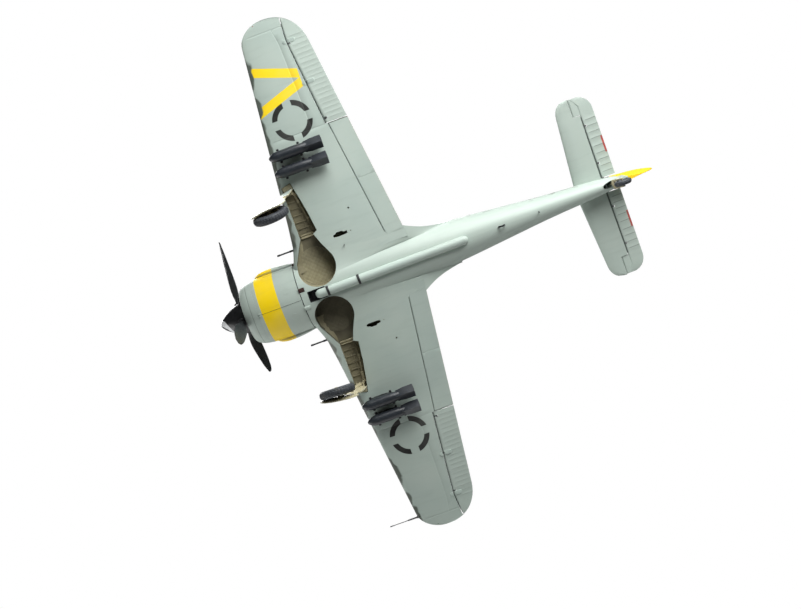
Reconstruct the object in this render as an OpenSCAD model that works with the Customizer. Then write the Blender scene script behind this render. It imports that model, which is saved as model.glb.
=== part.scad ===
// Display model of a single-seat radial-engine fighter with carried stores, at one thirty-second size.
// It is drawn in level flight: nose towards -Y, left wing towards +X, up +Z. The drawing datum is the
// spinner tip (y) and the propeller axis (z); to_origin() then moves it to the centre of its own box.

/* [Airframe] */
// Half of the wing span
half_span = 164; // [160:1:168]
// Spinner tip to rudder trailing edge
overall_length = 280; // [278:1:282]
// Top of the fin above the propeller axis
fin_top = 49; // [46:1:52]
// Largest radius of the engine cowling
cowl_r = 20.3; // [20:0.1:20.6]
// Wall of the moulded shells
wall = 1.1; // [1.0:0.1:1.3]
// Gap between a moving surface and its neighbour
gap = 0.3; // [0.25:0.05:0.4]

/* [Wing] */
// Lowest point of the wing underside at the middle
wing_low_z = -15.24; // [-16:0.1:-15]
// Rise of the wing per millimetre of span
dihedral = 0.0915; // [0.08:0.0005:0.1]
// Nose-up slope of the wing chord
incidence = 0.035; // [0.03:0.001:0.04]
// Inboard end of the aileron
aileron_x0 = 93.7; // [92:0.1:95]
// Outboard end of the aileron
aileron_x1 = 161.2; // [160:0.1:162]

/* [Landing gear] */
// Main tyre radius
tyre_r = 10.8; // [10.5:0.1:11]
// Main tyre width
tyre_w = 5.0; // [4.8:0.1:5.1]
// Centre of the left main wheel with the gear down
wheel_down = [54.2, 57.9, -52]; // [-60:0.1:60]
// Centre of the left main wheel with the gear folded
wheel_up = [15.5, 68.9, -8.6]; // [-60:0.1:70]
// Radius of the round wheel bay
bay_r = 11.7; // [11.6:0.1:11.8]
// Tail tyre radius
tail_tyre_r = 5.4; // [5:0.1:5.6]

/* [Propeller] */
// Propeller radius
prop_r = 51.6; // [50:0.1:53]
// Distance of the blade axes behind the spinner tip
prop_y = 14.2; // [13.8:0.1:14.6]
// Angle of the first blade from the left wing
first_blade = 21.3; // [0:0.1:119]
// Radius of the propeller shaft
shaft_r = 1.5; // [1.3:0.1:1.8]

/* [Stores] */
// Length of a bomb
bomb_length = 33.5; // [30:0.5:35]
// Radius of a bomb
bomb_r = 3.2; // [3:0.1:3.3]
// Distance of each bomb from the middle
bomb_x = [74.7, 84.7]; // [70:0.1:90]

/* [Hidden] */
$fn = 48;

// The box runs from the wheels to the fin top, and from the spinner to the rudder.
ground_z = -62.75;
origin_y = overall_length / 2;
origin_z = (fin_top + ground_z) / 2;

// Colours
pale_green = [0.72, 0.77, 0.73];
dark_green = [0.35, 0.41, 0.36];
yellow = [0.98, 0.8, 0.05];
black = [0.1, 0.1, 0.11];
bay_tan = [0.47, 0.43, 0.33];
cream = [0.8, 0.76, 0.63];
bomb_grey = [0.25, 0.27, 0.29];
tyre_grey = [0.2, 0.21, 0.23];
metal = [0.6, 0.6, 0.62];

// ---------------------------------------------------------------- helpers

function mix(a, b, t) = a + (b - a) * t;
function unit(v) = v / norm(v);
function total(list) = list * [for (item = list) 1];

module to_origin() translate([0, -origin_y, -origin_z]) children();
module both_sides() { children(); mirror([1, 0, 0]) children(); }
module on_right() mirror([1, 0, 0]) children();
// A solid of revolution drawn along Z, turned to run aft
module aft() rotate([-90, 0, 0]) children();
// A carved group kept as one shell
module carved() resize([0, 0, 0]) children();

// Closed solid from triangles in any order, turned so that its faces look outwards
module solid(p, faces) {
    outwards = total([for (f = faces) p[f[0]] * cross(p[f[1]], p[f[2]])]) > 0;
    polyhedron(p, outwards ? [for (f = faces) [f[2], f[1], f[0]]] : faces, convexity = 8);
}

// Solid through a row of equal rings, closed at both ends
module loft(rings) {
    n = len(rings[0]);
    last = (len(rings) - 1) * n;
    solid([for (r = rings) each r], concat(
        [for (i = [0:len(rings) - 2], j = [0:n - 1]) [i * n + j, i * n + (j + 1) % n, (i + 1) * n + j]],
        [for (i = [0:len(rings) - 2], j = [0:n - 1])
            [i * n + (j + 1) % n, (i + 1) * n + (j + 1) % n, (i + 1) * n + j]],
        [for (j = [1:n - 2]) [0, j + 1, j]],
        [for (j = [1:n - 2]) [last, last + j, last + j + 1]]));
}

// Solid between two equal grids of points, closed round the edge
module skin(outer, inner) {
    rows = len(outer);
    cols = len(outer[0]);
    n = rows * cols;
    function sheet(base, turn) = [for (i = [0:rows - 2], j = [0:cols - 2])
        let (a = base + i * cols + j, b = a + 1, c = a + cols, d = c + 1)
        each turn ? [[a, b, c], [b, d, c]] : [[a, c, b], [b, c, d]]];
    rim = concat([for (j = [0:cols - 1]) j], [for (i = [1:rows - 1]) i * cols + cols - 1],
        [for (j = [cols - 2:-1:0]) (rows - 1) * cols + j], [for (i = [rows - 2:-1:1]) i * cols]);
    m = len(rim);
    solid(concat([for (r = outer) each r], [for (r = inner) each r]), concat(
        sheet(0, true), sheet(n, false),
        [for (k = [0:m - 1]) [rim[k], rim[k] + n, rim[(k + 1) % m]]],
        [for (k = [0:m - 1]) [rim[(k + 1) % m], rim[k] + n, rim[(k + 1) % m] + n]]));
}

// Children drawn along Z are laid along a line, with their X pointing forwards
module hinge_frame(p, direction) {
    c = unit(direction);
    a = unit([0, -1, 0] - c * (c * [0, -1, 0]));
    b = cross(c, a);
    multmatrix([[a.x, b.x, c.x, p.x], [a.y, b.y, c.y, p.y], [a.z, b.z, c.z, p.z], [0, 0, 0, 1]])
        children();
}

// ---------------------------------------------------------------- fuselage shape

body_y0 = 54.4;
body_y1 = 257.4;
// Station, half width, top, bottom, height of the widest point
body = [[54.4, 20.0, 20.0, -20.2, 0], [64, 19.2, 19.9, -19.6, 0], [75, 18.2, 19.6, -18.9, 0],
    [88, 17.0, 19.3, -18.2, 0], [100, 16.2, 19.1, -17.6, 0.2], [115, 15.5, 19.4, -16.9, 0.6],
    [130, 14.6, 20.2, -16.1, 1.2], [142, 13.7, 20.0, -15.2, 1.8], [155, 12.7, 19.5, -14.0, 2.4],
    [168, 11.5, 18.9, -12.5, 3.0], [180, 10.3, 18.3, -11.0, 3.6], [192, 9.1, 17.8, -9.6, 4.2],
    [205, 7.8, 17.2, -8.2, 4.8], [220, 6.6, 16.6, -6.6, 5.4], [235, 5.6, 16.0, -5.2, 6.0],
    [248, 4.5, 15.4, -4.2, 6.4], [257.4, 3.3, 15.0, -3.6, 6.6]];
body_fullness = 0.9;
function body_value(y, k) = lookup(y, [for (s = body) [s[0], s[k]]]);
function power(v, e) = sign(v) * pow(abs(v), e);
function body_point(y, a, inset) = let (mid = body_value(y, 4),
        reach = sin(a) > 0 ? body_value(y, 2) - mid : mid - body_value(y, 3))
    [(body_value(y, 1) - inset) * power(max(cos(a), 0), body_fullness), y,
        mid + (reach - inset) * power(sin(a), body_fullness)];
// Height of the top or bottom skin at a distance from the middle
function body_top(y, x) = body_value(y, 4) + (body_value(y, 2) - body_value(y, 4))
    * pow(1 - pow(min(abs(x) / body_value(y, 1), 1), 2 / body_fullness), body_fullness / 2);
body_angles = [for (k = [0:16]) -90 + k * 11.25];
function body_grid(inset) = [for (s = body) [for (a = body_angles) body_point(s[0], a, inset)]];
// The whole outer shape, used to trim what meets it
module body_solid(inset = 0) both_sides()
    loft([for (s = body) [for (a = body_angles) body_point(s[0], a, inset)]]);

// ---------------------------------------------------------------- wing shape

tip_le_x = half_span - 12;
tip_te_x = half_span - 21;
tip_y = 88;
function round_off(u, e) = 1 - pow(1 - pow(min(max(u, 0), 1), e), 1 / e);
le_line = [[0, 57], [18, 54.8], [29, 58.7], [44, 60.7], [67, 63.1], [152, 71.6], [170, 73.2]];
function wing_le(x) = mix(lookup(x, le_line), tip_y, round_off((x - tip_le_x) / 12, 2));
function te_line(x) = 128.2 - 0.1195 * x;
function wing_te(x) = mix(te_line(x), tip_y + 1, round_off((x - tip_te_x) / 21, 2.3));
function wing_t(x) = lookup(x, [[0, 0.158], [60, 0.14], [100, 0.118], [150, 0.095], [170, 0.085]])
    * (wing_te(x) - wing_le(x));
function wing_floor(x) = wing_low_z + dihedral * (sqrt(x * x + 100) - 10);
function wing_te_z(x) = wing_floor(x) - 0.0227 * (wing_te(x) - wing_le(x)) + 0.4 * wing_t(x);
function chord_z(x, y) = wing_te_z(x) + (wing_te(x) - y) * incidence;
te_half = 0.28;
function wing_half(x, y) = let (s = min(max((y - wing_le(x)) / (wing_te(x) - wing_le(x)), 0), 1))
    max(te_half, 5 * wing_t(x) * (0.2969 * sqrt(s) - 0.126 * s - 0.3516 * s * s + 0.2843 * pow(s, 3)
        - 0.1036 * pow(s, 4)));
function wing_top(x, y) = chord_z(x, y) + 1.2 * wing_half(x, y);
function wing_bottom(x, y) = chord_z(x, y) - 0.8 * wing_half(x, y);

// Flap and aileron lines on the underside, measured at the gap
flap_x0 = 19.6;
flap_x1 = 92.9;
function flap_line(x) = mix(114.6, 105.0, (x - 19) / 73);
function aileron_line(x) = 103.3 - 0.1 * (x - 93.6) + 0.16 * max(x - 147, 0);
function in_aileron(x) = x > aileron_x0 - gap - 0.01 && x < aileron_x1 + gap + 0.01;
function lower_end(x) = in_aileron(x) ? aileron_line(x) - gap / 2
    : x > flap_x0 - gap - 0.01 && x < flap_x1 + gap + 0.01 ? flap_line(x) - gap / 2 : wing_te(x);
function upper_end(x) = in_aileron(x) ? aileron_line(x) - gap / 2 : wing_te(x);

chord_steps = [0, 0.006, 0.02, 0.045, 0.085, 0.14, 0.22, 0.34, 0.48, 0.64, 0.82, 1];
wing_stations = [6, 12, 18, 19.2, 19.31, 29, 36, 44, 56, 67, 80, 93.19, 93.3, 93.4, 106, 119, 133,
    147, 152, 156, 159, 161.5, 161.6, 162.8, 163.6, half_span];
// One skin panel: the outer face, and an inner face that never crosses the chord plane
module wing_skin(upper) {
    ys = function (x) [for (f = chord_steps) mix(wing_le(x), upper ? upper_end(x) : lower_end(x), f)];
    skin([for (x = wing_stations) [for (y = ys(x)) [x, y, upper ? wing_top(x, y) : wing_bottom(x, y)]]],
        [for (x = wing_stations) [for (y = ys(x)) let (c = chord_z(x, y)) [x, y,
            upper ? max(wing_top(x, y) - wall, c + 0.06) : min(wing_bottom(x, y) + wall, c - 0.06)]]]);
}
// The wing volume inboard, from its underside to just under the upper skin
module wing_core() {
    stations = [0.5, 6, 12, 18, 29, 36, 44, 56, 67, 80, 93];
    skin([for (x = stations) [for (f = chord_steps) let (y = mix(wing_le(x), wing_te(x), f))
            [x, y, wing_bottom(x, y)]]],
        [for (x = stations) [for (f = chord_steps) let (y = mix(wing_le(x), wing_te(x), f))
            [x, y, max(wing_top(x, y) - wall - 0.12, chord_z(x, y))]]]);
}

// ---------------------------------------------------------------- moving surface shape

// Ring across a surface that turns about [ya, za]: round nose, flat flanks, thin trailing edge
nose_angles = [90, 118, 149, 180, 211, 242, 270];
function surface_ring(x, ya, za, r, yt, zt, edge) = concat(
    [for (a = nose_angles) [x, ya + r * cos(a), za + r * sin(a)]],
    [[x, yt, zt - edge], [x, yt, zt + edge]]);

// Aileron hinge axis: a straight line through the nose centres at both ends
function nose_r(x, line) = 0.94 * wing_half(x, line);
function nose_centre(x, line) = [x, line + gap / 2 + nose_r(x, line), chord_z(x, line) + 0.2 * wing_half(x, line)];
aileron_a = nose_centre(aileron_x0, aileron_line(aileron_x0));
aileron_b = nose_centre(147, aileron_line(147));
aileron_ra = nose_r(aileron_x0, aileron_line(aileron_x0));
aileron_rb = nose_r(147, aileron_line(147));
function aileron_u(x) = (x - aileron_x0) / (147 - aileron_x0);
aileron_hinges_x = [96.5, 120.4, 145.5];
tab_x = [101.5, 112];

// Flap hinge axis, low in the wing
function flap_r(x) = 0.30 * wing_half(x, flap_line(x));
function flap_centre(x) = [x, flap_line(x) + gap / 2 + flap_r(x),
    wing_bottom(x, flap_line(x)) + flap_r(x)];
flap_a = flap_centre(flap_x0);
flap_b = flap_centre(flap_x1);
function flap_u(x) = (x - flap_x0) / (flap_x1 - flap_x0);

// Tailplane
tail_z = 9.5;
tail_x1 = 56.6;
elevator_y = 250.4;
elevator_x0 = 4.9;
horn_x = 45.1;
function tail_le(x) = mix(231.2 + 0.082 * x, 243, round_off((x - 48) / 8.6, 2.2));
function tail_te(x) = mix(258.2, 247.5, round_off((x - 47) / 9.6, 2.2));
function tail_half(x) = mix(2.1, 1.1, x / tail_x1);
function elevator_r(x) = mix(1.35, 0.75, x / tail_x1);
// Fin and rudder
rudder_y = 259.6;
rudder_low = -2.6;
function rudder_te(z) = lookup(z, [[-2.6, 271], [1, 276.5], [5, 279.4], [8, 280], [14, 279.6],
    [24, 277.9], [34, 275.2], [41, 272.4], [46, 268.8], [48, 266], [49, 262.5]]) + overall_length - 280;
function rudder_r(z) = mix(1.7, 0.9, max(z, 0) / 50);
function fin_le(z) = lookup(z, [[14, 219], [17, 223.5], [24, 229], [34, 236.3], [42, 242.3], [46, 246],
    [48, 249], [49, 253]]);

// ---------------------------------------------------------------- landing gear geometry

pivot_x = 62;
pivot_y = 68;
pivot_z = (wheel_down * wheel_down - wheel_up * wheel_up - 2 * pivot_x * (wheel_down.x - wheel_up.x)
    - 2 * pivot_y * (wheel_down.y - wheel_up.y)) / (2 * (wheel_down.z - wheel_up.z));
pivot = [pivot_x, pivot_y, pivot_z];
leg_length = norm(wheel_down - pivot);
leg_down = unit(wheel_down - pivot);
leg_up = unit(wheel_up - pivot);
axle_down = unit([1, 0, 0] - leg_down * leg_down.x);
axle_up = unit([0, 0, -1] + leg_up * leg_up.z);
fold_axis = unit(cross(axle_down - axle_up, leg_down - leg_up));
fold_from = leg_down - fold_axis * (fold_axis * leg_down);
fold_to = leg_up - fold_axis * (fold_axis * leg_up);
fold_angle = sign(fold_axis * cross(fold_from, fold_to)) * acos(unit(fold_from) * unit(fold_to));
// X aft, Y outboard, Z down the leg, from the pivot
module leg_frame() {
    side = cross(axle_down, leg_down);
    multmatrix([[side.x, axle_down.x, leg_down.x, pivot.x], [side.y, axle_down.y, leg_down.y, pivot.y],
        [side.z, axle_down.z, leg_down.z, pivot.z], [0, 0, 0, 1]]) children();
}
// Children drawn with the gear folded are swung down
module swung_down() translate(pivot) rotate(a = -fold_angle, v = fold_axis) translate(-pivot) children();
module bay_outline() {
    translate([wheel_up.x, wheel_up.y]) circle(r = bay_r);
    polygon([[19.5, 57.6], [33.8, 65.2], [66, 64.9], [67.6, 70.9], [58, 73], [48, 74.9], [35.9, 76.5],
        [34.5, 73.6], [28, 76], [19, 80.2]]);
}
roof_z = -5.45;
axle_r = 0.7;
leg_r = 1.15;
piston_r = 0.75;
// The strut bends outboard just above the tyre, then runs beside it
bend_z = leg_length - 10;
strut_offset = tyre_w / 2 + piston_r + 0.12;

// ---------------------------------------------------------------- airframe

cockpit_y = [99.5, 126.5];
recess_y = [58.4, 69.6];
spar_y = 82;
module bay_cut() both_sides() translate([0, 0, -40]) linear_extrude(40.75 + roof_z)
    offset(delta = 0.75) bay_outline();
// Fairing behind the wing root: it fills the corner between the trailing edge and the fuselage side
fairing = [[20.8, 125.95, -11.4], [19, 131, -11.2], [16, 138, -10.4], [13.3, 147, -8],
    [14.2, 126.75, -3], [13, 147, -3], [11.5, 127.1, -12.8], [11, 147, -10.5]];
module root_fairing() difference() {
    hull() for (p = fairing) translate(p) cube(0.3, center = true);
    body_solid(wall / 2);
}
module fuselage_half() color(pale_green) difference() {
    carved() difference() {
        union() {
            skin(body_grid(0), body_grid(wall));
            root_fairing();
        }
        translate([-9, cockpit_y[0], 11]) cube([17, cockpit_y[1] - cockpit_y[0], 20]);
        translate([-3.4, recess_y[0], -30]) cube([6.8, recess_y[1] - recess_y[0], 15]);
        bay_cut();
        translate([-30, spar_y - 0.2, -13.2]) cube([60, 2.8, 9.5]);
        translate([-2.7, 246.5, -12]) cube([5.4, 20, 14]);
    }
    translate([-20, elevator_y, tail_z]) rotate([0, 90, 0]) cylinder(r = 1.1, h = 40);
}
module fuselage_left() fuselage_half();
module fuselage_right() on_right() fuselage_half();

module tail_fin() color(pale_green) carved() difference() {
    loft([for (z = [14, 17, 24, 34, 42, 46, 48, fin_top]) let (
        y0 = fin_le(z), y1 = rudder_y - rudder_r(z) - gap, t = rudder_r(z))
        [[0, y0, z], [t * 0.55, mix(y0, y1, 0.12), z], [t * 0.95, mix(y0, y1, 0.45), z], [t, y1, z],
            [-t, y1, z], [-t * 0.95, mix(y0, y1, 0.45), z], [-t * 0.55, mix(y0, y1, 0.12), z]]]);
    body_solid();
}

module tailplane_half() color(pale_green) {
    xs = [2.2, 12, 24, 36, horn_x - gap, horn_x - gap + 0.1, 48, 52, 54.6, 56, tail_x1];
    loft([for (x = xs) let (y0 = tail_le(x), h = tail_half(x),
            y1 = x < horn_x - gap + 0.05 ? elevator_y - elevator_r(x) - gap : min(244.6, tail_te(x) - 0.5))
        [[x, y0, tail_z], [x, mix(y0, y1, 0.1), tail_z + h * 0.6], [x, mix(y0, y1, 0.4), tail_z + h],
            [x, y1, tail_z + min(h * 0.82, elevator_r(x) + 0.35)],
            [x, y1, tail_z - min(h * 0.82, elevator_r(x) + 0.35)],
            [x, mix(y0, y1, 0.4), tail_z - h], [x, mix(y0, y1, 0.1), tail_z - h * 0.6]]]);
}
module tailplane_trimmed() carved() difference() {
    tailplane_half();
    body_solid();
}
module tailplane_left() color(pale_green) tailplane_trimmed();
module tailplane_right() color(pale_green) on_right() tailplane_trimmed();

gun_x = 29;
gun_r = 0.55;
module gun_hole() translate([gun_x, 40, chord_z(gun_x, 60)]) aft() cylinder(r = gun_r + 0.05, h = 30);
module wing_upper() color(dark_green) carved() difference() {
    wing_skin(true);
    body_solid();
    gun_hole();
}
module wing_upper_left() wing_upper();
module wing_upper_right() on_right() wing_upper();

peg_x = 41.9;
peg_y = 98.9;
peg_r = 0.55;
slot_x = 29;
module wing_lower() color(pale_green) difference() {
    carved() difference() {
        wing_skin(false);
        body_solid();
        bay_cut();
        gun_hole();
        translate([slot_x - 1.1, 84.6, -25]) cube([2.2, 8.8, 20]);
    }
    translate([peg_x, peg_y, -25]) cylinder(r = peg_r, h = 20);
}
module wing_lower_left() wing_lower();
module wing_lower_right() on_right() wing_lower();

// One bar through the fuselage, following the rise of each wing between the skins
module wing_spar() color(metal) {
    spar = [for (x = [-140, -80, -20, 20, 80, 140]) let (u = abs(x), y = spar_y + 1)
        [[x, spar_y, wing_bottom(u, y) + wall + 0.15], [x, spar_y, wing_top(u, y) - wall - 0.42],
            [x, spar_y + 2.2, wing_top(u, y) - wall - 0.42], [x, spar_y + 2.2, wing_bottom(u, y) + wall + 0.15]]];
    loft([for (r = spar) abs(r[0].x) < 30 ? [for (q = r) [q.x, q.y, min(max(q.z, -13), -4.2)]] : r]);
}

// Small lug with a bore for a hinge pin; the arm runs forwards
pin_r = 0.4;
lug_w = 1.0;
module hinge_lug(r, arm, half_height) translate([0, 0, -lug_w / 2]) difference() {
    union() {
        cylinder(r = r, h = lug_w, $fn = 32);
        translate([0, -half_height, 0]) cube([arm, half_height * 2, lug_w]);
    }
    translate([0, 0, -1]) cylinder(r = pin_r + 0.06, h = lug_w + 2, $fn = 32);
}
module aileron_hinges() for (x = aileron_hinges_x)
    hinge_frame(mix(aileron_a, aileron_b, aileron_u(x)), aileron_b - aileron_a) children();
elevator_hinges_x = [14, 38];
module elevator_hinge(x) hinge_frame([x, elevator_y, tail_z], [1, 0, 0]) children();
rudder_hinges_z = [19, 38];
module rudder_hinge(z) hinge_frame([0, rudder_y, z], [0, 0, 1]) children();
module hinge_brackets() color(metal) {
    both_sides() {
        aileron_hinges() hinge_lug(0.75, aileron_ra + gap + 1.6, 0.13);
        for (x = elevator_hinges_x) elevator_hinge(x) hinge_lug(0.7, elevator_r(x) + gap - 0.04, 0.4);
    }
    for (z = rudder_hinges_z) rudder_hinge(z) hinge_lug(0.7, rudder_r(z) + gap - 0.04, 0.4);
}
// Slot for a lug, then the pin that crosses it
module lug_slot() translate([-0.9, -5, -lug_w / 2 - 0.15]) cube([9, 10, lug_w + 0.3]);
module lug_pin() translate([0, 0, -lug_w / 2 - 0.5]) cylinder(r = pin_r, h = lug_w + 1, $fn = 32);

// ---------------------------------------------------------------- wheel wells

module wheel_well() color(bay_tan) carved() intersection() {
    difference() {
        translate([0, 0, -30]) linear_extrude(30 + roof_z + 0.6) offset(delta = 0.6) bay_outline();
        translate([0, 0, -31]) linear_extrude(31 + roof_z) bay_outline();
    }
    union() {
        wing_core();
        body_solid();
    }
}
module wheel_well_left() wheel_well();
module wheel_well_right() on_right() wheel_well();

// Folding brace that lies along the front of each leg bay, under its roof
module retraction_struts() color(cream) both_sides() {
    translate([36.5, 66.9, roof_z - 1.15]) rotate([0, 90, 0]) cylinder(r = 0.8, h = 13);
    translate([49.5, 66.9, roof_z - 1.15]) rotate([0, 90, 0]) cylinder(r = 0.45, h = 8.5);
}

// ---------------------------------------------------------------- cowling and engine

module cowl_ring() color(pale_green) aft() rotate_extrude($fn = 96) polygon([
    [12.9, 20.2], [13.2, 18.6], [14.2, 17.6], [15.4, 17.5], [16.8, 18.5], [18.2, 20.6], [19.2, 23.3],
    [19.7, 26.2], [18.5, 26.2], [17.8, 23.8], [16.4, 21.2], [15.1, 20.1], [14.3, 20.3], [14.0, 21.2]]);

cowl_profile = [[19.75, 26.5], [cowl_r - 0.2, 30], [cowl_r, 36], [cowl_r, 44], [cowl_r - 0.1, 53.9],
    [cowl_r - 1.3, 53.9], [cowl_r - 1.2, 44], [cowl_r - 1.2, 36], [cowl_r - 1.4, 30], [18.5, 26.5]];
// Long teardrop blister on each side of the cowling
bulge = [[27.5, 0.1, 0.3], [31, 0.9, 2.2], [36, 1.7, 3.6], [42, 2.1, 4.2], [48, 1.8, 3.9], [53.8, 1.2, 3.0]];
module cowl_half() color(pale_green) carved() union() {
    difference() {
        aft() rotate_extrude($fn = 96) polygon(cowl_profile);
        translate([-60, 0, -30]) cube([60, 80, 60]);
    }
    loft([for (s = bulge) [for (a = [-90:22.5:90])
        [cowl_r - 0.9 + (s[1] + 0.4) * cos(a), s[0], 3 + s[2] * sin(a)]]]);
}
module cowl_left() cowl_half();
module cowl_right() on_right() cowl_half();

crank_y = [24.4, 50];
cylinder_tip = 16.6;
module engine_block() color(metal) difference() {
    union() {
        translate([0, crank_y[0], 0]) aft() cylinder(r = 6.4, h = crank_y[1] - crank_y[0]);
        for (row = [0, 1], k = [0:6]) translate([0, row == 0 ? 31 : 41, 0])
            rotate([0, k * 360 / 7 + row * 180 / 7, 0]) translate([0, 0, 5]) rotate_extrude($fn = 24)
                polygon([[0, 0], [2.4, 0], [2.4, 2.4], [3.3, 2.4], [3.3, 3.4], [2.6, 3.4], [2.6, 4.6], [3.3, 4.6],
                    [3.3, 5.6], [2.6, 5.6], [2.6, 6.8], [3.3, 6.8], [3.3, 7.8], [2.6, 7.8], [2.6, 9],
                    [3.1, 9], [3.1, cylinder_tip - 5], [0, cylinder_tip - 5]]);
    }
    translate([0, 0, 0]) aft() cylinder(r = shaft_r + 0.05, h = 46);
}

module firewall() color(bay_tan) translate([0, 51, 0]) aft() cylinder(r = cowl_r - 1.6, h = 2.6);

// Short outlets: four on each flank of the cowling's rear edge and one beside the keel
stub_angles = [-16, -6, 4, 74];
module exhaust_stubs() color([0.45, 0.3, 0.24]) carved() difference() {
    both_sides() for (a = stub_angles) rotate([0, a, 0]) translate([cowl_r - 0.6, 54.0, 0]) aft() difference() {
        cylinder(r = 1.4, h = 3.6, $fn = 24);
        translate([0, 0, 1]) cylinder(r = 1.0, h = 3, $fn = 24);
    }
    body_solid();
}

// ---------------------------------------------------------------- cockpit

module cockpit_tub() color(bay_tan) translate([-7.4, 100, 3]) difference() {
    cube([14.8, 26, 11.4]);
    translate([0.8, 0.8, 0.8]) cube([13.2, 24.4, 20]);
}
module pilot_seat() color(bay_tan) carved() union() {
    translate([-3.6, 112, 4.1]) cube([7.2, 7.1, 2]);
    translate([-3.6, 118.4, 4.6]) rotate([-8, 0, 0]) cube([7.2, 1.2, 10.5]);
    both_sides() translate([3.3, 112.6, 4.5]) cube([1.2, 6, 3.2]);
}
module control_stick() color(black) {
    translate([0, 108.4, 3.8]) cylinder(r = 0.4, h = 6.6, $fn = 24);
    translate([0, 108.4, 10.4]) sphere(r = 0.8, $fn = 24);
}
module instrument_panel() color(black) difference() {
    translate([-6, 102.2, 5]) cube([12, 1, 9.2]);
    for (x = [-3.9, -1.3, 1.3, 3.9], z = [7.4, 11]) translate([x, 102.8, z]) aft()
        cylinder(r = 0.85, h = 1, $fn = 24);
}

// Canopy: station, half width at the rail, height of the top
canopy = [[91.5, 4.6, 19.9], [95.5, 6.6, 24.6], [99.4, 8.0, 27.9], [99.8, 8.1, 28.2], [103, 8.7, 29.4],
    [109, 8.9, 29.9], [118, 8.5, 29.0], [127, 7.4, 27.0], [136, 5.6, 24.6], [143, 3.6, 22.6],
    [147, 1.6, 21.3]];
rail_lift = 0.75;
glass = 0.7;
function canopy_ring(s, inset) = let (rail = body_top(s[0], s[1]) + rail_lift)
    [for (k = [0:12]) let (a = k * 15) [(s[1] - inset) * power(cos(a), 0.85), s[0],
        rail + max(s[2] - inset - rail, 0.3) * power(max(sin(a), 0), 0.85)]];
function canopy_rings(from, to) = [for (s = canopy) if (s[0] > from && s[0] < to) s];
module canopy_shell(from, to, inset = 0) {
    rings = canopy_rings(from, to);
    skin([for (s = rings) canopy_ring(s, inset)], [for (s = rings) canopy_ring(s, inset + glass)]);
}
module windscreen() color([0.7, 0.8, 0.85, 0.5]) canopy_shell(90, 99.5);
// The frame is the front hoop, the rail strips and the tail of the hood
module canopy_bands(grow) {
    translate([-12, 99.7, 10]) cube([24, 1.6 + grow, 25]);
    translate([-12, 132 - grow, 10]) cube([24, 20, 25]);
    translate([-12, 99, 10]) cube([24, 50, 8.2 + grow]);
}
module canopy_glass() color([0.7, 0.8, 0.85, 0.5]) carved() difference() {
    canopy_shell(99.6, 148);
    canopy_bands(0);
}
module canopy_frame() color(dark_green) carved() intersection() {
    canopy_shell(99.6, 148);
    canopy_bands(0);
}

// ---------------------------------------------------------------- things under the wings and belly

tube_r = 2.7;
tube_a = [0, 66, -20.6];
tube_b = [0, 157, -15.0];
module belly_tube() color(pale_green) carved() difference() {
    union() {
        hull() {
            translate(tube_a) sphere(r = tube_r, $fn = 24);
            translate(tube_b) sphere(r = tube_r, $fn = 24);
        }
    }
    body_solid();
}
module tube_straps() color(black) carved() difference() {
    for (y = [70.8, 90.3]) translate([0, y - 0.6, mix(tube_a.z, tube_b.z, (y - 66) / 91)]) aft() difference() {
        cylinder(r = tube_r + 0.5, h = 1.2);
        translate([0, 0, -1]) cylinder(r = tube_r + 0.04, h = 4);
    }
    body_solid();
}

module belly_aerials() color(pale_green) {
    translate([0, 181.4, body_value(181.4, 3) - 1.0]) difference() {
        translate([-0.5, 0, 0]) rotate([0, 90, 0]) cylinder(r = 2.1, h = 1);
        translate([-1, 0, 0]) rotate([0, 90, 0]) cylinder(r = 1.4, h = 2);
        translate([-1, -4, 0.75]) cube([2, 8, 4]);
    }
    translate([0, 205.3, body_value(205.3, 3) - 3.2]) cylinder(r = 0.35, h = 3.1);
    translate([22, 89, wing_bottom(22, 89) - 1.9]) cylinder(r = 0.3, h = 1.85);
}

gun_muzzle_y = 48.3;
module wing_guns() color(black) both_sides() translate([gun_x, gun_muzzle_y, chord_z(gun_x, 60)]) aft()
    difference() {
        cylinder(r = gun_r, h = 12.8);
        translate([0, 0, -1]) cylinder(r = 0.3, h = 4, $fn = 24);
    }

pitot_x = -154;
pitot_y = wing_le(154);
module pitot_tube() color(metal) translate([pitot_x, 0, chord_z(154, pitot_y)]) {
    translate([0, pitot_y - 18.5, 0]) aft() cylinder(r = 0.35, h = 12);
    translate([0, pitot_y - 6.5, 0]) aft() cylinder(r = 0.55, h = 6.4);
}

bomb_y = 64.7;
bomb_drop = 6.6;
function bomb_z(x) = wing_bottom(x, 80) - bomb_drop;
module at_bombs() both_sides() for (x = bomb_x) translate([x, bomb_y, bomb_z(x)]) children();
bomb_profile = [[0, 0], [1.2, 0.5], [2.2, 1.7], [2.9, 3.6], [1, 6], [1, 17], [0.94, 20.5], [0.75, 25], [0.5, 29],
    [0.28, 32.2], [0, 32.2]];
function bomb_outline(grow) = [for (q = bomb_profile) [(q.y < 5 ? q.x * bomb_r / 3.2 : q.x * bomb_r)
    + (q.x > 0 ? grow : 0), q.y * bomb_length / 33.5]];
module bombs() color(bomb_grey) at_bombs() aft() rotate_extrude($fn = 32) polygon(bomb_outline(0));
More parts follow.
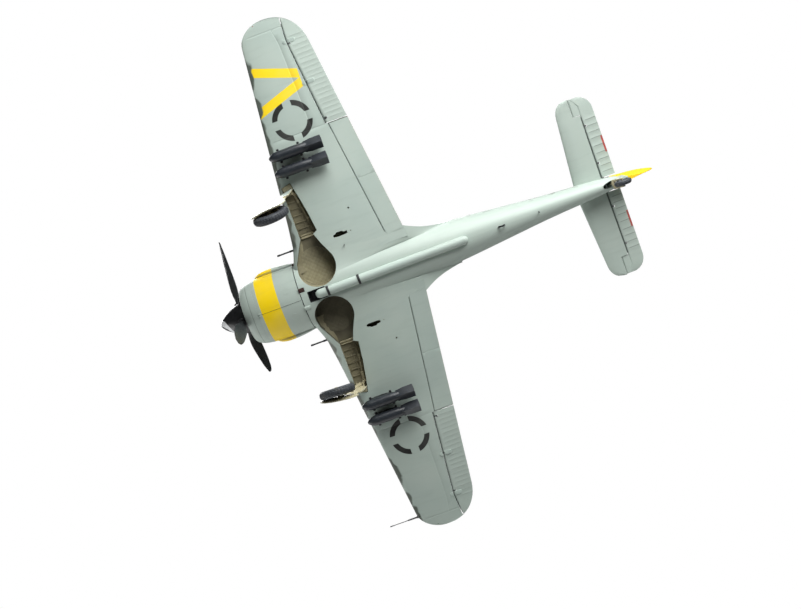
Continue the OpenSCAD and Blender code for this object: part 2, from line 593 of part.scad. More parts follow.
// Four fins inside a square-cornered drum; slotted over the tail cone
// Square sleeve set corner down on four fins, slotted over the tail cone
tail_box = 5.5;
tail_wall = 0.3;
tail_box_length = 8;
bomb_fin = [3.6, 11, 0.4];
module bomb_tails() color(bomb_grey) at_bombs() difference() {
    union() {
        for (k = [0:3]) rotate([0, k * 90, 0])
            translate([0, bomb_length - bomb_fin.y, -bomb_fin.z / 2]) cube(bomb_fin);
        translate([0, bomb_length - tail_box_length, 0]) rotate([0, 45, 0]) difference() {
            translate([-tail_box / 2, 0, -tail_box / 2]) cube([tail_box, tail_box_length, tail_box]);
            translate([tail_wall - tail_box / 2, -1, tail_wall - tail_box / 2])
                cube([tail_box - 2 * tail_wall, tail_box_length + 2, tail_box - 2 * tail_wall]);
        }
    }
    aft() rotate_extrude($fn = 32) polygon(bomb_outline(0.05));
}
module bomb_racks() color(bomb_grey) carved() difference() {
    both_sides() for (x = bomb_x) translate([x, 0, 0]) {
        translate([-1.3, 69.5, bomb_z(x) + bomb_r + 0.1]) cube([2.6, 16.5, 5.6]);
        for (y = [70.6, 83.4]) translate([-2.9, y, bomb_z(x) + 2.75]) cube([5.8, 1.3, 1.6]);
    }
    both_sides() translate([0, 0, -0.1]) wing_core();
    at_bombs() translate([0, -2, 0]) aft() cylinder(r = bomb_r + 0.06, h = 40, $fn = 48);
}

// ---------------------------------------------------------------- propeller

spinner_r = 10.2;
spinner_y = 19.6;
function spinner_radius(y) = spinner_r * pow(1 - pow(1 - min(y / 20.4, 1), 1.6), 0.8);
spinner_ys = [0, 0.5, 1.5, 3, 5, 7.5, 10.5, 13.5, 16.5, spinner_y];
module blade_frames(k) rotate([0, -first_blade - k * 120, 0]) translate([0, prop_y, 0]) rotate([0, 90, 0])
    children();
module spinner() color(black) difference() {
    aft() rotate_extrude($fn = 72) polygon(concat([for (y = spinner_ys) [spinner_radius(y), y]],
        [for (k = [len(spinner_ys) - 1:-1:1]) let (y = spinner_ys[k]) [max(spinner_radius(y) - 0.9, 0),
            max(y, 1.4)]], [[0, 1.4]]));
    for (k = [0:2]) blade_frames(k) translate([0, 0, 5]) cylinder(r = 2.9, h = 10);
}
module spinner_backplate() color(black) translate([0, spinner_y + 0.1, 0]) aft() difference() {
    cylinder(r = spinner_r - 0.3, h = 0.9);
    translate([0, 0, -1]) cylinder(r = shaft_r, h = 4);
}
module propeller_shaft() color(metal) difference() {
    union() {
        translate([0, 9, 0]) aft() cylinder(r = shaft_r, h = 36.5);
        translate([0, 10.4, 0]) aft() cylinder(r = 4.2, h = 7.6);
    }
    for (k = [0:2]) blade_frames(k) translate([0, 0, 2.4]) cylinder(r = 1.7, h = 6);
}
// Blade drawn along Z: distance, half chord, half thickness, pitch
blade = [[9.6, 1.75, 1.5, 55], [13, 2.5, 1.1, 50], [17, 3.9, 0.8, 45], [23, 5.0, 0.65, 38], [30, 5.1, 0.55, 33],
    [37, 4.9, 0.45, 29], [43, 4.4, 0.38, 26], [47.4, 3.4, 0.32, 24], [50, 2.1, 0.27, 23], [51.6, 0.5, 0.2, 23]];
module propeller_blade(k) color([0.16, 0.17, 0.17]) blade_frames(k) {
    translate([0, 0, 2.5]) cylinder(r = 1.68, h = 7.6);
    loft([for (s = blade) [for (a = [0:30:330]) let (u = s[1] * cos(a), v = s[2] * sin(a))
        [u * cos(s[3]) + v * sin(s[3]), u * sin(s[3]) - v * cos(s[3]), s[0] * prop_r / 51.6]]]);
}
module propeller_blade_1() propeller_blade(0);
module propeller_blade_2() propeller_blade(1);
module propeller_blade_3() propeller_blade(2);
module cooling_fan() color(metal) translate([0, 21.2, 0]) aft() difference() {
    union() {
        cylinder(r = 7.5, h = 2.6);
        for (k = [0:11]) rotate([0, 0, k * 30]) translate([6.8, -0.3, 1.3]) rotate([35, 0, 0])
            translate([0, -0.35, -1.2]) cube([5.4, 0.7, 2.6]);
    }
    translate([0, 0, -1]) cylinder(r = shaft_r, h = 6);
}

// ---------------------------------------------------------------- moving surfaces

module aileron() color(pale_green) {
    difference() {
        carved() union() {
            xs = [aileron_x0, 106, 119, 133, 147, 152, 156, 159, aileron_x1];
            loft([for (x = xs) let (c = mix(aileron_a, aileron_b, aileron_u(x)),
                    r = min(mix(aileron_ra, aileron_rb, aileron_u(x)), (wing_te(x) - aileron_line(x)) * 0.4),
                    y = c.y + aileron_line(x) - (103.3 - 0.1 * (x - 93.6)))
                surface_ring(x, y, c.z, r, wing_te(x), chord_z(x, wing_te(x)), te_half * 0.8)]);
            translate([tab_x[0], te_line(106.7) - 1, chord_z(106.7, te_line(106.7)) - 0.2])
                cube([tab_x[1] - tab_x[0], 2.6, 0.4]);
        }
        aileron_hinges() lug_slot();
    }
    aileron_hinges() lug_pin();
}
module aileron_left() aileron();
module aileron_right() on_right() aileron();

// Split flap: the lower half of the trailing edge only
module flap() color(pale_green) {
    xs = [flap_x0, 30, 44, 56, 68, 80, flap_x1];
    loft([for (x = xs) let (c = mix(flap_a, flap_b, flap_u(x)), r = flap_r(x), y1 = wing_te(x) - 0.1,
            ym = mix(c.y, y1, 0.5))
        concat([for (a = nose_angles) [x, c.y + r * cos(a), c.z + r * sin(a)]],
            [[x, ym, wing_bottom(x, ym)], [x, y1, chord_z(x, y1) - 0.3],
                [x, y1, chord_z(x, y1) - 0.08], [x, ym, min(chord_z(x, ym) - 0.2, c.z + r)]])]);
}
module flap_left() flap();
module flap_right() on_right() flap();

module elevator() color(pale_green) {
    difference() {
        carved() union() {
            xs = [elevator_x0, 20, 34, 44, 48, 51, 54, 56.2];
            loft([for (x = xs) surface_ring(x, elevator_y - max(x - 51, 0) * 0.7, tail_z, elevator_r(x),
                tail_te(x), tail_z, 0.22)]);
            loft([for (x = [horn_x + 0.1, 49, 53, 55.4]) surface_ring(x, 245.9, tail_z, 0.85,
                elevator_y - max(x - 53, 0), tail_z, 0.5)]);
            translate([19, 257.2, tail_z - 0.2]) cube([10.5, 2.1, 0.4]);
        }
        for (x = elevator_hinges_x) elevator_hinge(x) lug_slot();
        translate([0, elevator_y, tail_z]) rotate([0, 90, 0]) cylinder(r = 0.6, h = 9);
    }
    for (x = elevator_hinges_x) elevator_hinge(x) lug_pin();
}
module elevator_left() elevator();
module elevator_right() on_right() elevator();
module elevator_rod() color(metal) translate([-8.9, elevator_y, tail_z]) rotate([0, 90, 0])
    cylinder(r = 0.6, h = 17.8);

module rudder() color(yellow) {
    difference() {
        loft([for (z = [rudder_low, 1, 5, 8, 14, 24, 34, 41, 46, 48, fin_top]) let (r = rudder_r(z), e = 0.3)
            concat([for (a = nose_angles) [r * sin(a), rudder_y + r * cos(a), z]],
                [[-e, rudder_te(z), z], [e, rudder_te(z), z]])]);
        for (z = rudder_hinges_z) rudder_hinge(z) lug_slot();
    }
    for (z = rudder_hinges_z) rudder_hinge(z) lug_pin();
}

// ---------------------------------------------------------------- landing gear

module gear_leg() color(cream) leg_frame() {
    rotate([-atan(strut_offset / bend_z), 0, 0]) {
        cylinder(r = leg_r, h = 25);
        cylinder(r = piston_r, h = norm([strut_offset, bend_z]));
    }
    translate([0, strut_offset, bend_z - 0.3]) cylinder(r = piston_r, h = leg_length - bend_z + 1.2);
    translate([0, strut_offset, leg_length]) rotate([90, 0, 0])
        cylinder(r = axle_r, h = strut_offset + 2.4);
    translate([0, -2.15, leg_length]) rotate([90, 0, 0]) cylinder(r = 1.2, h = 0.5);
}
module gear_leg_left() gear_leg();
module gear_leg_right() on_right() gear_leg();

door_t = 0.6;
module gear_door() color(pale_green) carved() difference() {
    swung_down() door_panel();
    leg_frame() rotate([-atan(strut_offset / bend_z), 0, 0]) {
        translate([0, 0, -3]) cylinder(r = leg_r + 0.05, h = 28.1);
        cylinder(r = piston_r + 0.05, h = bend_z + 1);
    }
    leg_frame() translate([0, strut_offset, bend_z - 1]) cylinder(r = piston_r + 0.05, h = 12.4);
}
// The leg door is the piece of lower skin that closes the leg bay and half of the wheel bay
module door_panel() intersection() {
    skin([for (x = [2, 10, 18, 29, 44, 56, 67, 72]) [for (f = chord_steps) let (y = mix(wing_le(x), 100, f))
            [x, y, wing_bottom(x, y)]]],
        [for (x = [2, 10, 18, 29, 44, 56, 67, 72]) [for (f = chord_steps) let (y = mix(wing_le(x), 100, f))
            [x, y, wing_bottom(x, y) + door_t]]]);
    translate([0, 0, -30]) linear_extrude(40) intersection() {
        offset(delta = -0.5) bay_outline();
        translate([8.8, 50]) square([53.4, 40]);
    }
}
module gear_door_left() gear_door();
module gear_door_right() on_right() gear_door();

hub_r = 5.4;
module tyre() color(tyre_grey) leg_frame() translate([0, 0, leg_length]) rotate([90, 0, 0]) rotate_extrude($fn = 72)
    polygon([[hub_r, -1.7], [7.2, -tyre_w / 2], [8.8, -tyre_w / 2], [10, -2.1], [tyre_r - 0.1, -1.2],
        [tyre_r, 0], [tyre_r - 0.1, 1.2], [10, 2.1], [8.8, tyre_w / 2], [7.2, tyre_w / 2], [hub_r, 1.7]]);
module tyre_left() tyre();
module tyre_right() on_right() tyre();
module hub() color(cream) leg_frame() translate([0, 0, leg_length]) rotate([90, 0, 0]) rotate_extrude()
    polygon([[axle_r + 0.05, -2], [1.8, -2], [2.2, -0.9], [4.4, -1], [hub_r, -1.7], [hub_r, 1.7], [4.4, 1],
        [2.2, 0.9], [1.8, 2], [axle_r + 0.05, 2]]);
module hub_left() hub();
module hub_right() on_right() hub();

tail_axle = [0, 257.6, -15.5];
tail_swivel_y = 253.4;
module tailwheel_fork() color(metal) {
    translate([0, tail_swivel_y, -8.4]) cylinder(r = 1.1, h = 11);
    translate([-2.9, tail_swivel_y - 1.2, -9.4]) cube([5.8, 2.6, 1.2]);
    both_sides() carved() hull() {
        translate([2.25, tail_swivel_y, -9]) sphere(r = 0.62, $fn = 16);
        translate([2.25, tail_axle.y, tail_axle.z]) sphere(r = 0.62, $fn = 16);
    }
    translate([-2.6, tail_axle.y, tail_axle.z]) rotate([0, 90, 0]) cylinder(r = 0.45, h = 5.2);
}
module tail_wheel() color(tyre_grey) translate(tail_axle) rotate([0, 90, 0]) rotate_extrude()
    polygon([[0.5, -1.2], [3, -1.0], [3.6, -1.5], [4.7, -1.4], [tail_tyre_r, -0.5], [tail_tyre_r, 0.5],
        [4.7, 1.4], [3.6, 1.5], [3, 1.0], [0.5, 1.2]]);

// ---------------------------------------------------------------- the nodes

to_origin() fuselage_left();
to_origin() fuselage_right();
to_origin() tail_fin();
to_origin() tailplane_left();
to_origin() tailplane_right();
to_origin() wing_upper_left();
to_origin() wing_upper_right();
to_origin() wing_lower_left();
to_origin() wing_lower_right();
to_origin() wing_spar();
to_origin() hinge_brackets();
to_origin() wheel_well_left();
to_origin() wheel_well_right();
to_origin() retraction_struts();
to_origin() cowl_ring();
to_origin() cowl_left();
to_origin() cowl_right();
to_origin() engine_block();
to_origin() firewall();
to_origin() exhaust_stubs();
to_origin() cockpit_tub();
to_origin() pilot_seat();
to_origin() control_stick();
to_origin() instrument_panel();
to_origin() windscreen();
to_origin() belly_tube();
to_origin() tube_straps();
to_origin() belly_aerials();
to_origin() wing_guns();
to_origin() pitot_tube();
to_origin() bomb_racks();
to_origin() bombs();
to_origin() bomb_tails();
to_origin() propeller_shaft();
to_origin() propeller_blade_1();
to_origin() propeller_blade_2();
to_origin() propeller_blade_3();
to_origin() spinner();
to_origin() spinner_backplate();
to_origin() cooling_fan();
to_origin() canopy_glass();
to_origin() canopy_frame();
to_origin() aileron_left();
to_origin() aileron_right();
to_origin() flap_left();
to_origin() flap_right();
to_origin() elevator_left();
to_origin() elevator_right();
to_origin() elevator_rod();
to_origin() rudder();
to_origin() gear_leg_left();
to_origin() gear_leg_right();
to_origin() gear_door_left();
to_origin() gear_door_right();
to_origin() tyre_left();
to_origin() tyre_right();
to_origin() hub_left();
to_origin() hub_right();
to_origin() tailwheel_fork();
to_origin() tail_wheel();
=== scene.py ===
"""Studio scene of a one thirty-second display model of a single-seat radial-engine fighter.

Shapes are worked out in millimetres from the drawing datum (spinner tip, propeller axis) and placed
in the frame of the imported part, whose origin is the centre of its box.
"""
import math

import bmesh
import bpy
import numpy as np
from mathutils import Matrix, Vector


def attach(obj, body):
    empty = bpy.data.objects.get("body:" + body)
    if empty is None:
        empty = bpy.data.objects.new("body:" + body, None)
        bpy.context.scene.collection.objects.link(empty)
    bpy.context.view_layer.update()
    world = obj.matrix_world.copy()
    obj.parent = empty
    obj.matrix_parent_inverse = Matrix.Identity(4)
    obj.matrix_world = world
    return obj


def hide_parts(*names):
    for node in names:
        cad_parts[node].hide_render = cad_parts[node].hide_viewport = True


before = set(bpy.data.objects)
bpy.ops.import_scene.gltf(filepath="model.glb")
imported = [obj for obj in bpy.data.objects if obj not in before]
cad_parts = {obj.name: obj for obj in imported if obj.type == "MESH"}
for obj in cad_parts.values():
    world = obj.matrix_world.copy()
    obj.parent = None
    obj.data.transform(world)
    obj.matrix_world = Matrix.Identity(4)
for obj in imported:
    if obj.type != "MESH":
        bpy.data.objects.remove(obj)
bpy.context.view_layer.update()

MM = 0.001
DATUM = np.array([0.0, 140.0, -6.875])   # centre of the box, from the datum, in mm


def place(points):
    """Datum millimetres to frame metres."""
    return (np.asarray(points, float).reshape(-1, 3) - DATUM) * MM


# ---------------------------------------------------------------- numbers shared with the part

HALF_SPAN = 164.0
FIN_TOP = 49.0
COWL_R = 20.3
WALL = 1.1
GAP = 0.3
WING_LOW_Z = -15.24
DIHEDRAL = 0.0915
INCIDENCE = 0.035
AILERON_X = (93.7, 161.2)
FLAP_X = (19.6, 92.9)
TE_HALF = 0.28
TIP_Y = 88.0
TAIL_Z = 9.5
TAIL_X1 = 56.6
ELEVATOR_Y = 250.4
ELEVATOR_X0 = 4.9
HORN_X = 45.1
RUDDER_Y = 259.6
RUDDER_LOW = -2.6
TYRE_W = 5.0
BAY_R = 11.7
ROOF_Z = -5.45
PROP_Y = 14.2
FIRST_BLADE = 21.3
SPINNER_R = 10.2
SPINNER_END = 19.6

BODY = [(54.4, 20.0, 20.0, -20.2, 0), (64, 19.2, 19.9, -19.6, 0), (75, 18.2, 19.6, -18.9, 0),
        (88, 17.0, 19.3, -18.2, 0), (100, 16.2, 19.1, -17.6, 0.2), (115, 15.5, 19.4, -16.9, 0.6),
        (130, 14.6, 20.2, -16.1, 1.2), (142, 13.7, 20.0, -15.2, 1.8), (155, 12.7, 19.5, -14.0, 2.4),
        (168, 11.5, 18.9, -12.5, 3.0), (180, 10.3, 18.3, -11.0, 3.6), (192, 9.1, 17.8, -9.6, 4.2),
        (205, 7.8, 17.2, -8.2, 4.8), (220, 6.6, 16.6, -6.6, 5.4), (235, 5.6, 16.0, -5.2, 6.0),
        (248, 4.5, 15.4, -4.2, 6.4), (257.4, 3.3, 15.0, -3.6, 6.6)]
FULLNESS = 0.9


def mix(a, b, t):
    return a + (b - a) * t


def clamp(t):
    return min(max(t, 0), 1)


def ray(degrees, r=1.0):
    """The two parts of a radius r at an angle."""
    return r * math.cos(math.radians(degrees)), r * math.sin(math.radians(degrees))


def unit(v):
    v = np.asarray(v, float)
    return v / np.linalg.norm(v)


def lookup(v, table):
    return float(np.interp(v, [t[0] for t in table], [t[1] for t in table]))


def smooth_lookup(v, table, k=1):
    """Curve through a table's rows, without corners."""
    xs = np.array([t[0] for t in table], float)
    ys = np.array([t[k] for t in table], float)
    slope = np.gradient(ys, xs)
    i = int(np.clip(np.searchsorted(xs, v) - 1, 0, len(xs) - 2))
    h = xs[i + 1] - xs[i]
    t = clamp((v - xs[i]) / h)
    return float((2 * t**3 - 3 * t**2 + 1) * ys[i] + (t**3 - 2 * t**2 + t) * h * slope[i]
                 + (3 * t**2 - 2 * t**3) * ys[i + 1] + (t**3 - t**2) * h * slope[i + 1])


def body_value(y, k):
    return smooth_lookup(y, BODY, k)


def power(v, e):
    return math.copysign(abs(v) ** e, v)


def body_point(y, a, inset=0.0):
    """Point on the fuselage skin; a is the angle from level, in degrees."""
    mid = body_value(y, 4)
    c, s = ray(a)
    reach = body_value(y, 2) - mid if s > 0 else mid - body_value(y, 3)
    return ((body_value(y, 1) - inset) * power(max(c, 0), FULLNESS), y,
            mid + (reach - inset) * power(s, FULLNESS))


def body_top(y, x):
    return body_value(y, 4) + (body_value(y, 2) - body_value(y, 4)) * (
        1 - min(abs(x) / body_value(y, 1), 1) ** (2 / FULLNESS)) ** (FULLNESS / 2)


def round_off(u, e):
    return 1 - (1 - clamp(u) ** e) ** (1 / e)


LE_LINE = [(0, 57), (18, 54.8), (29, 58.7), (44, 60.7), (67, 63.1), (152, 71.6), (170, 73.2)]
THICKNESS = [(0, 0.158), (60, 0.14), (100, 0.118), (150, 0.095), (170, 0.085)]


def wing_le(x):
    return mix(lookup(x, LE_LINE), TIP_Y, round_off((x - HALF_SPAN + 12) / 12, 2))


def te_line(x):
    return 128.2 - 0.1195 * x


def wing_te(x):
    return mix(te_line(x), TIP_Y + 1, round_off((x - HALF_SPAN + 21) / 21, 2.3))


def wing_t(x):
    return lookup(x, THICKNESS) * (wing_te(x) - wing_le(x))


def wing_floor(x):
    return WING_LOW_Z + DIHEDRAL * (math.sqrt(x * x + 100) - 10)


def chord_z(x, y):
    te_z = wing_floor(x) - 0.0227 * (wing_te(x) - wing_le(x)) + 0.4 * wing_t(x)
    return te_z + (wing_te(x) - y) * INCIDENCE


def wing_half(x, y):
    s = clamp((y - wing_le(x)) / (wing_te(x) - wing_le(x)))
    return max(TE_HALF, 5 * wing_t(x) * (0.2969 * math.sqrt(s) - 0.126 * s - 0.3516 * s * s
                                         + 0.2843 * s**3 - 0.1036 * s**4))


def wing_top(x, y):
    return chord_z(x, y) + 1.2 * wing_half(x, y)


def wing_bottom(x, y):
    return chord_z(x, y) - 0.8 * wing_half(x, y)


def flap_line(x):
    return mix(114.6, 105.0, (x - 19) / 73)


def aileron_line(x):
    return 103.3 - 0.1 * (x - 93.6) + 0.16 * max(x - 147, 0)


def in_aileron(x):
    return AILERON_X[0] - GAP - 0.01 < x < AILERON_X[1] + GAP + 0.01


def lower_end(x):
    if in_aileron(x):
        return aileron_line(x) - GAP / 2
    if FLAP_X[0] - GAP - 0.01 < x < FLAP_X[1] + GAP + 0.01:
        return flap_line(x) - GAP / 2
    return wing_te(x)


def upper_end(x):
    return aileron_line(x) - GAP / 2 if in_aileron(x) else wing_te(x)


def nose_r(x, line):
    return 0.94 * wing_half(x, line)


def nose_centre(x, line):
    return np.array([x, line + GAP / 2 + nose_r(x, line), chord_z(x, line) + 0.2 * wing_half(x, line)])


AILERON_A = nose_centre(AILERON_X[0], aileron_line(AILERON_X[0]))
AILERON_B = nose_centre(147, aileron_line(147))
AILERON_RA = nose_r(AILERON_X[0], aileron_line(AILERON_X[0]))
AILERON_RB = nose_r(147, aileron_line(147))


def flap_r(x):
    return 0.30 * wing_half(x, flap_line(x))


def flap_centre(x):
    return np.array([x, flap_line(x) + GAP / 2 + flap_r(x), wing_bottom(x, flap_line(x)) + flap_r(x)])


def tail_le(x):
    return mix(231.2 + 0.082 * x, 243, round_off((x - 48) / 8.6, 2.2))


def tail_te(x):
    return mix(258.2, 247.5, round_off((x - 47) / 9.6, 2.2))


def tail_half(x):
    return mix(2.1, 1.1, x / TAIL_X1)


def elevator_r(x):
    return mix(1.35, 0.75, x / TAIL_X1)


RUDDER_TE = [(-2.6, 271), (1, 276.5), (5, 279.4), (8, 280), (14, 279.6), (24, 277.9), (34, 275.2),
             (41, 272.4), (46, 268.8), (48, 266), (49, 262.5)]
FIN_LE = [(14, 219), (17, 223.5), (24, 229), (34, 236.3), (42, 242.3), (46, 246), (48, 249), (49, 253)]


def rudder_r(z):
    return mix(1.7, 0.9, max(z, 0) / 50)


WHEEL_DOWN = np.array([54.2, 57.9, -52])
WHEEL_UP = np.array([15.5, 68.9, -8.6])
PIVOT = np.array([62, 68, 0.0])
PIVOT[2] = (WHEEL_DOWN @ WHEEL_DOWN - WHEEL_UP @ WHEEL_UP
            - 2 * PIVOT[:2] @ (WHEEL_DOWN - WHEEL_UP)[:2]) / (2 * (WHEEL_DOWN - WHEEL_UP)[2])
LEG_LENGTH = float(np.linalg.norm(WHEEL_DOWN - PIVOT))
LEG_DOWN = unit(WHEEL_DOWN - PIVOT)
LEG_UP = unit(WHEEL_UP - PIVOT)
AXLE_DOWN = unit(np.array([1, 0, 0]) - LEG_DOWN * LEG_DOWN[0])
AXLE_UP = unit(np.array([0, 0, -1]) + LEG_UP * LEG_UP[2])
FOLD_AXIS = unit(np.cross(AXLE_DOWN - AXLE_UP, LEG_DOWN - LEG_UP))
_from = unit(LEG_DOWN - FOLD_AXIS * (FOLD_AXIS @ LEG_DOWN))
_to = unit(LEG_UP - FOLD_AXIS * (FOLD_AXIS @ LEG_UP))
FOLD_ANGLE = math.copysign(math.acos(_from @ _to), FOLD_AXIS @ np.cross(_from, _to))
AXLE_R = 0.7
LEG_R = 1.15
PISTON_R = 0.75
BEND_Z = LEG_LENGTH - 10
STRUT_OFFSET = TYRE_W / 2 + PISTON_R + 0.12
BAY = [(19.5, 57.6), (33.8, 65.2), (66, 64.9), (67.6, 70.9), (58, 73), (48, 74.9), (35.9, 76.5),
       (34.5, 73.6), (28, 76), (19, 80.2)]
COCKPIT_Y = (99.5, 126.5)
RECESS_Y = (58.4, 69.6)
GUN_X = 29.0
PEG = (41.9, 98.9, 0.55)
SLOT = (29.0, 84.6, 93.4)
TUBE_A = np.array([0, 66, -20.6])
TUBE_B = np.array([0, 157, -15.0])
TUBE_R = 2.7
BOMB_X = (74.7, 84.7)
BOMB_Y = 64.7
BOMB_R = 3.2
TAIL_AXLE = np.array([0, 257.6, -15.5])
TAIL_SWIVEL_Y = 253.4
TAIL_TYRE_R = 5.4
CANOPY = [(91.5, 4.6, 19.9), (95.5, 6.6, 24.6), (99.4, 8.0, 27.9), (99.8, 8.1, 28.2), (103, 8.7, 29.4),
          (109, 8.9, 29.9), (118, 8.5, 29.0), (127, 7.4, 27.0), (136, 5.6, 24.6), (143, 3.6, 22.6),
          (147, 1.6, 21.3)]
RAIL_LIFT = 0.75
GLASS = 0.7
BLADE = [(9.6, 1.75, 1.5, 55), (13, 2.5, 1.1, 50), (17, 3.9, 0.8, 45), (23, 5.0, 0.65, 38),
         (30, 5.1, 0.55, 33), (37, 4.9, 0.45, 29), (43, 4.4, 0.38, 26), (47.4, 3.4, 0.32, 24),
         (50, 2.1, 0.27, 23), (51.6, 0.5, 0.2, 23)]


# ---------------------------------------------------------------- mesh helpers

def columns(x, y, z, origin):
    """4x4 from its three axes and its origin."""
    m = np.eye(4)
    m[:3] = np.column_stack((x, y, z, origin))
    return m


def frame_of(origin, z_dir, x_dir=(1, 0, 0)):
    """4x4 with its Z along z_dir and its X as near as possible to x_dir."""
    z = unit(z_dir)
    x = np.asarray(x_dir, float)
    x = x - z * (z @ x)
    if np.linalg.norm(x) < 1e-6:
        x = np.array([0, 1.0, 0]) - z * z[1]
    x = unit(x)
    return columns(x, np.cross(z, x), z, origin)


def aft_frame(x=0.0, y=0.0, z=0.0):
    """Local Z runs aft, local X to the left."""
    return frame_of((x, y, z), (0, 1, 0), (1, 0, 0))


LEG_FRAME = columns(np.cross(AXLE_DOWN, LEG_DOWN), AXLE_DOWN, LEG_DOWN, PIVOT)


def turn(angle, axis, about=(0, 0, 0)):
    """4x4 turn by an angle in radians about an axis through a point."""
    m = np.array(Matrix.Rotation(angle, 4, Vector(axis)))
    about = np.asarray(about, float)
    m[:3, 3] = about - m[:3, :3] @ about
    return m


def shift(x, y, z):
    return columns((1, 0, 0), (0, 1, 0), (0, 0, 1), (x, y, z))


class Shape:
    """Closed parts gathered in datum millimetres; wash is 1 where dirt gathers, and along the lower join of the
    cowling blister, where it is painted shade.
    """

    def __init__(self):
        self.v, self.f, self.w = [], [], []

    def add(self, verts, faces, wash=None):
        base = len(self.v)
        verts = [tuple(map(float, p)) for p in verts]
        self.v += verts
        self.f += [tuple(base + i for i in f) for f in faces]
        self.w += [0.0] * len(verts) if wash is None else [float(x) for x in wash]
        return self

    def join(self, other, m=None):
        v = np.array(other.v, float)
        if m is not None:
            v = v @ m[:3, :3].T + m[:3, 3]
        return self.add(v, other.f, other.w)

    def moved(self, m):
        return Shape().join(self, m)

    def mirrored(self):
        other = Shape()
        other.v = [(-x, y, z) for x, y, z in self.v]
        other.f = [tuple(reversed(f)) for f in self.f]
        other.w = list(self.w)
        return other

    def loft(self, rings, wash=None, caps=True):
        n, rows = len(rings[0]), len(rings)
        faces = [(i * n + j, i * n + (j + 1) % n, (i + 1) * n + (j + 1) % n, (i + 1) * n + j)
                 for i in range(rows - 1) for j in range(n)]
        if caps:
            faces += [tuple(range(n))[::-1], tuple((rows - 1) * n + j for j in range(n))]
        flat = None if wash is None else [w for r in wash for w in r]
        return self.add([p for r in rings for p in r], faces, flat)

    def skin(self, outer, inner, wash=None):
        """Shell between two equal grids of points."""
        rows, cols = len(outer), len(outer[0])
        n = rows * cols
        quads = [(i * cols + j, i * cols + j + 1, (i + 1) * cols + j + 1, (i + 1) * cols + j)
                 for i in range(rows - 1) for j in range(cols - 1)]
        rim = ([j for j in range(cols)] + [i * cols + cols - 1 for i in range(1, rows)]
               + [(rows - 1) * cols + j for j in range(cols - 2, -1, -1)]
               + [i * cols for i in range(rows - 2, 0, -1)])
        faces = quads + [tuple(n + i for i in reversed(q)) for q in quads]
        faces += [(rim[k], n + rim[k], n + rim[(k + 1) % len(rim)], rim[(k + 1) % len(rim)])
                  for k in range(len(rim))]
        flat = [0.0] * (2 * n) if wash is None else [w for r in wash for w in r] + [0.0] * n
        return self.add([p for r in outer for p in r] + [p for r in inner for p in r], faces, flat)

    def shell(self, us, vs, point):
        """Shell over a grid; point(u, v) gives the outer and the inner point, and the dirt if there is any."""
        grid = [[point(u, v) for v in vs] for u in us]
        return self.skin(*([[p[k] for p in row] for row in grid] for k in range(len(grid[0][0]))))

    def lathe(self, profile, n=48, m=None, closed=False, wash=None):
        """Solid of revolution from rows of radius and height about local Z; closed for a ring profile."""
        turns = [2 * math.pi * k / n for k in range(n)]
        rings = [[(r * math.cos(t), r * math.sin(t), h) for t in turns] for r, h in profile]
        dirt = [[w] * n for w in wash or [0.0] * len(profile)]
        if closed:
            return self.join(Shape().loft(rings + rings[:1], dirt + dirt[:1], caps=False), m)
        return self.join(Shape().loft(rings, dirt, caps=profile[0][0] > 1e-6 or profile[-1][0] > 1e-6), m)

    def drum(self, r, low, high, n, m=None):
        """Plain cylinder about local Z."""
        return self.lathe([(0, low), (r, low), (r, high), (0, high)], n, m)

    def rod(self, a, b, r, n=20, r2=None, chamfer=0.12):
        """Round bar from a to b with small chamfers."""
        a, b = np.asarray(a, float), np.asarray(b, float)
        length = float(np.linalg.norm(b - a))
        r2 = r if r2 is None else r2
        c = min(chamfer, r * 0.4, r2 * 0.4, length * 0.2)
        return self.lathe([(0, 0), (r - c, 0), (r, c), (r2, length - c), (r2 - c, length), (0, length)],
                          n, frame_of(a, b - a, (0, 1, 0.3)))

    def tube(self, path, r, n=10):
        """Round tube along a line of points; r is one radius or one for each point."""
        path = [np.asarray(p, float) for p in path]
        radii = [r] * len(path) if np.isscalar(r) else r
        rings, side = [], None
        for i, p in enumerate(path):
            d = unit(path[min(i + 1, len(path) - 1)] - path[max(i - 1, 0)])
            if side is None:
                side = np.array([0.31, 0.52, 0.79])
            side = unit(side - d * (d @ side))
            up = np.cross(d, side)
            rings.append([p + radii[i] * (side * math.cos(2 * math.pi * k / n)
                                          + up * math.sin(2 * math.pi * k / n)) for k in range(n)])
        return self.loft(rings)

    def block(self, lo, hi, c=0.15, m=None):
        """Box with chamfered edges."""
        lo, hi = np.asarray(lo, float), np.asarray(hi, float)
        c = min(c, float((hi - lo).min()) * 0.3)
        rings = []
        for z, d in ((lo[2], c), (lo[2] + c, 0), (hi[2] - c, 0), (hi[2], c)):
            x0, x1, y0, y1 = lo[0] + d, hi[0] - d, lo[1] + d, hi[1] - d
            rings.append([(x0 + c, y0, z), (x1 - c, y0, z), (x1, y0 + c, z), (x1, y1 - c, z),
                          (x1 - c, y1, z), (x0 + c, y1, z), (x0, y1 - c, z), (x0, y0 + c, z)])
        part = Shape().loft(rings)
        return self.join(part, m)

    def prism(self, outline, z0, z1, m=None):
        rings = [[(x, y, z) for x, y in outline] for z in (z0, z1)]
        return self.join(Shape().loft(rings), m)


SIDES = (("left", lambda shape: shape), ("right", Shape.mirrored))


def both(shape):
    return Shape().join(shape).join(shape.mirrored())


def twin(half):
    """Ring profile whose two sides are alike."""
    return [(r, -h) for r, h in half] + [(r, h) for r, h in reversed(half)]


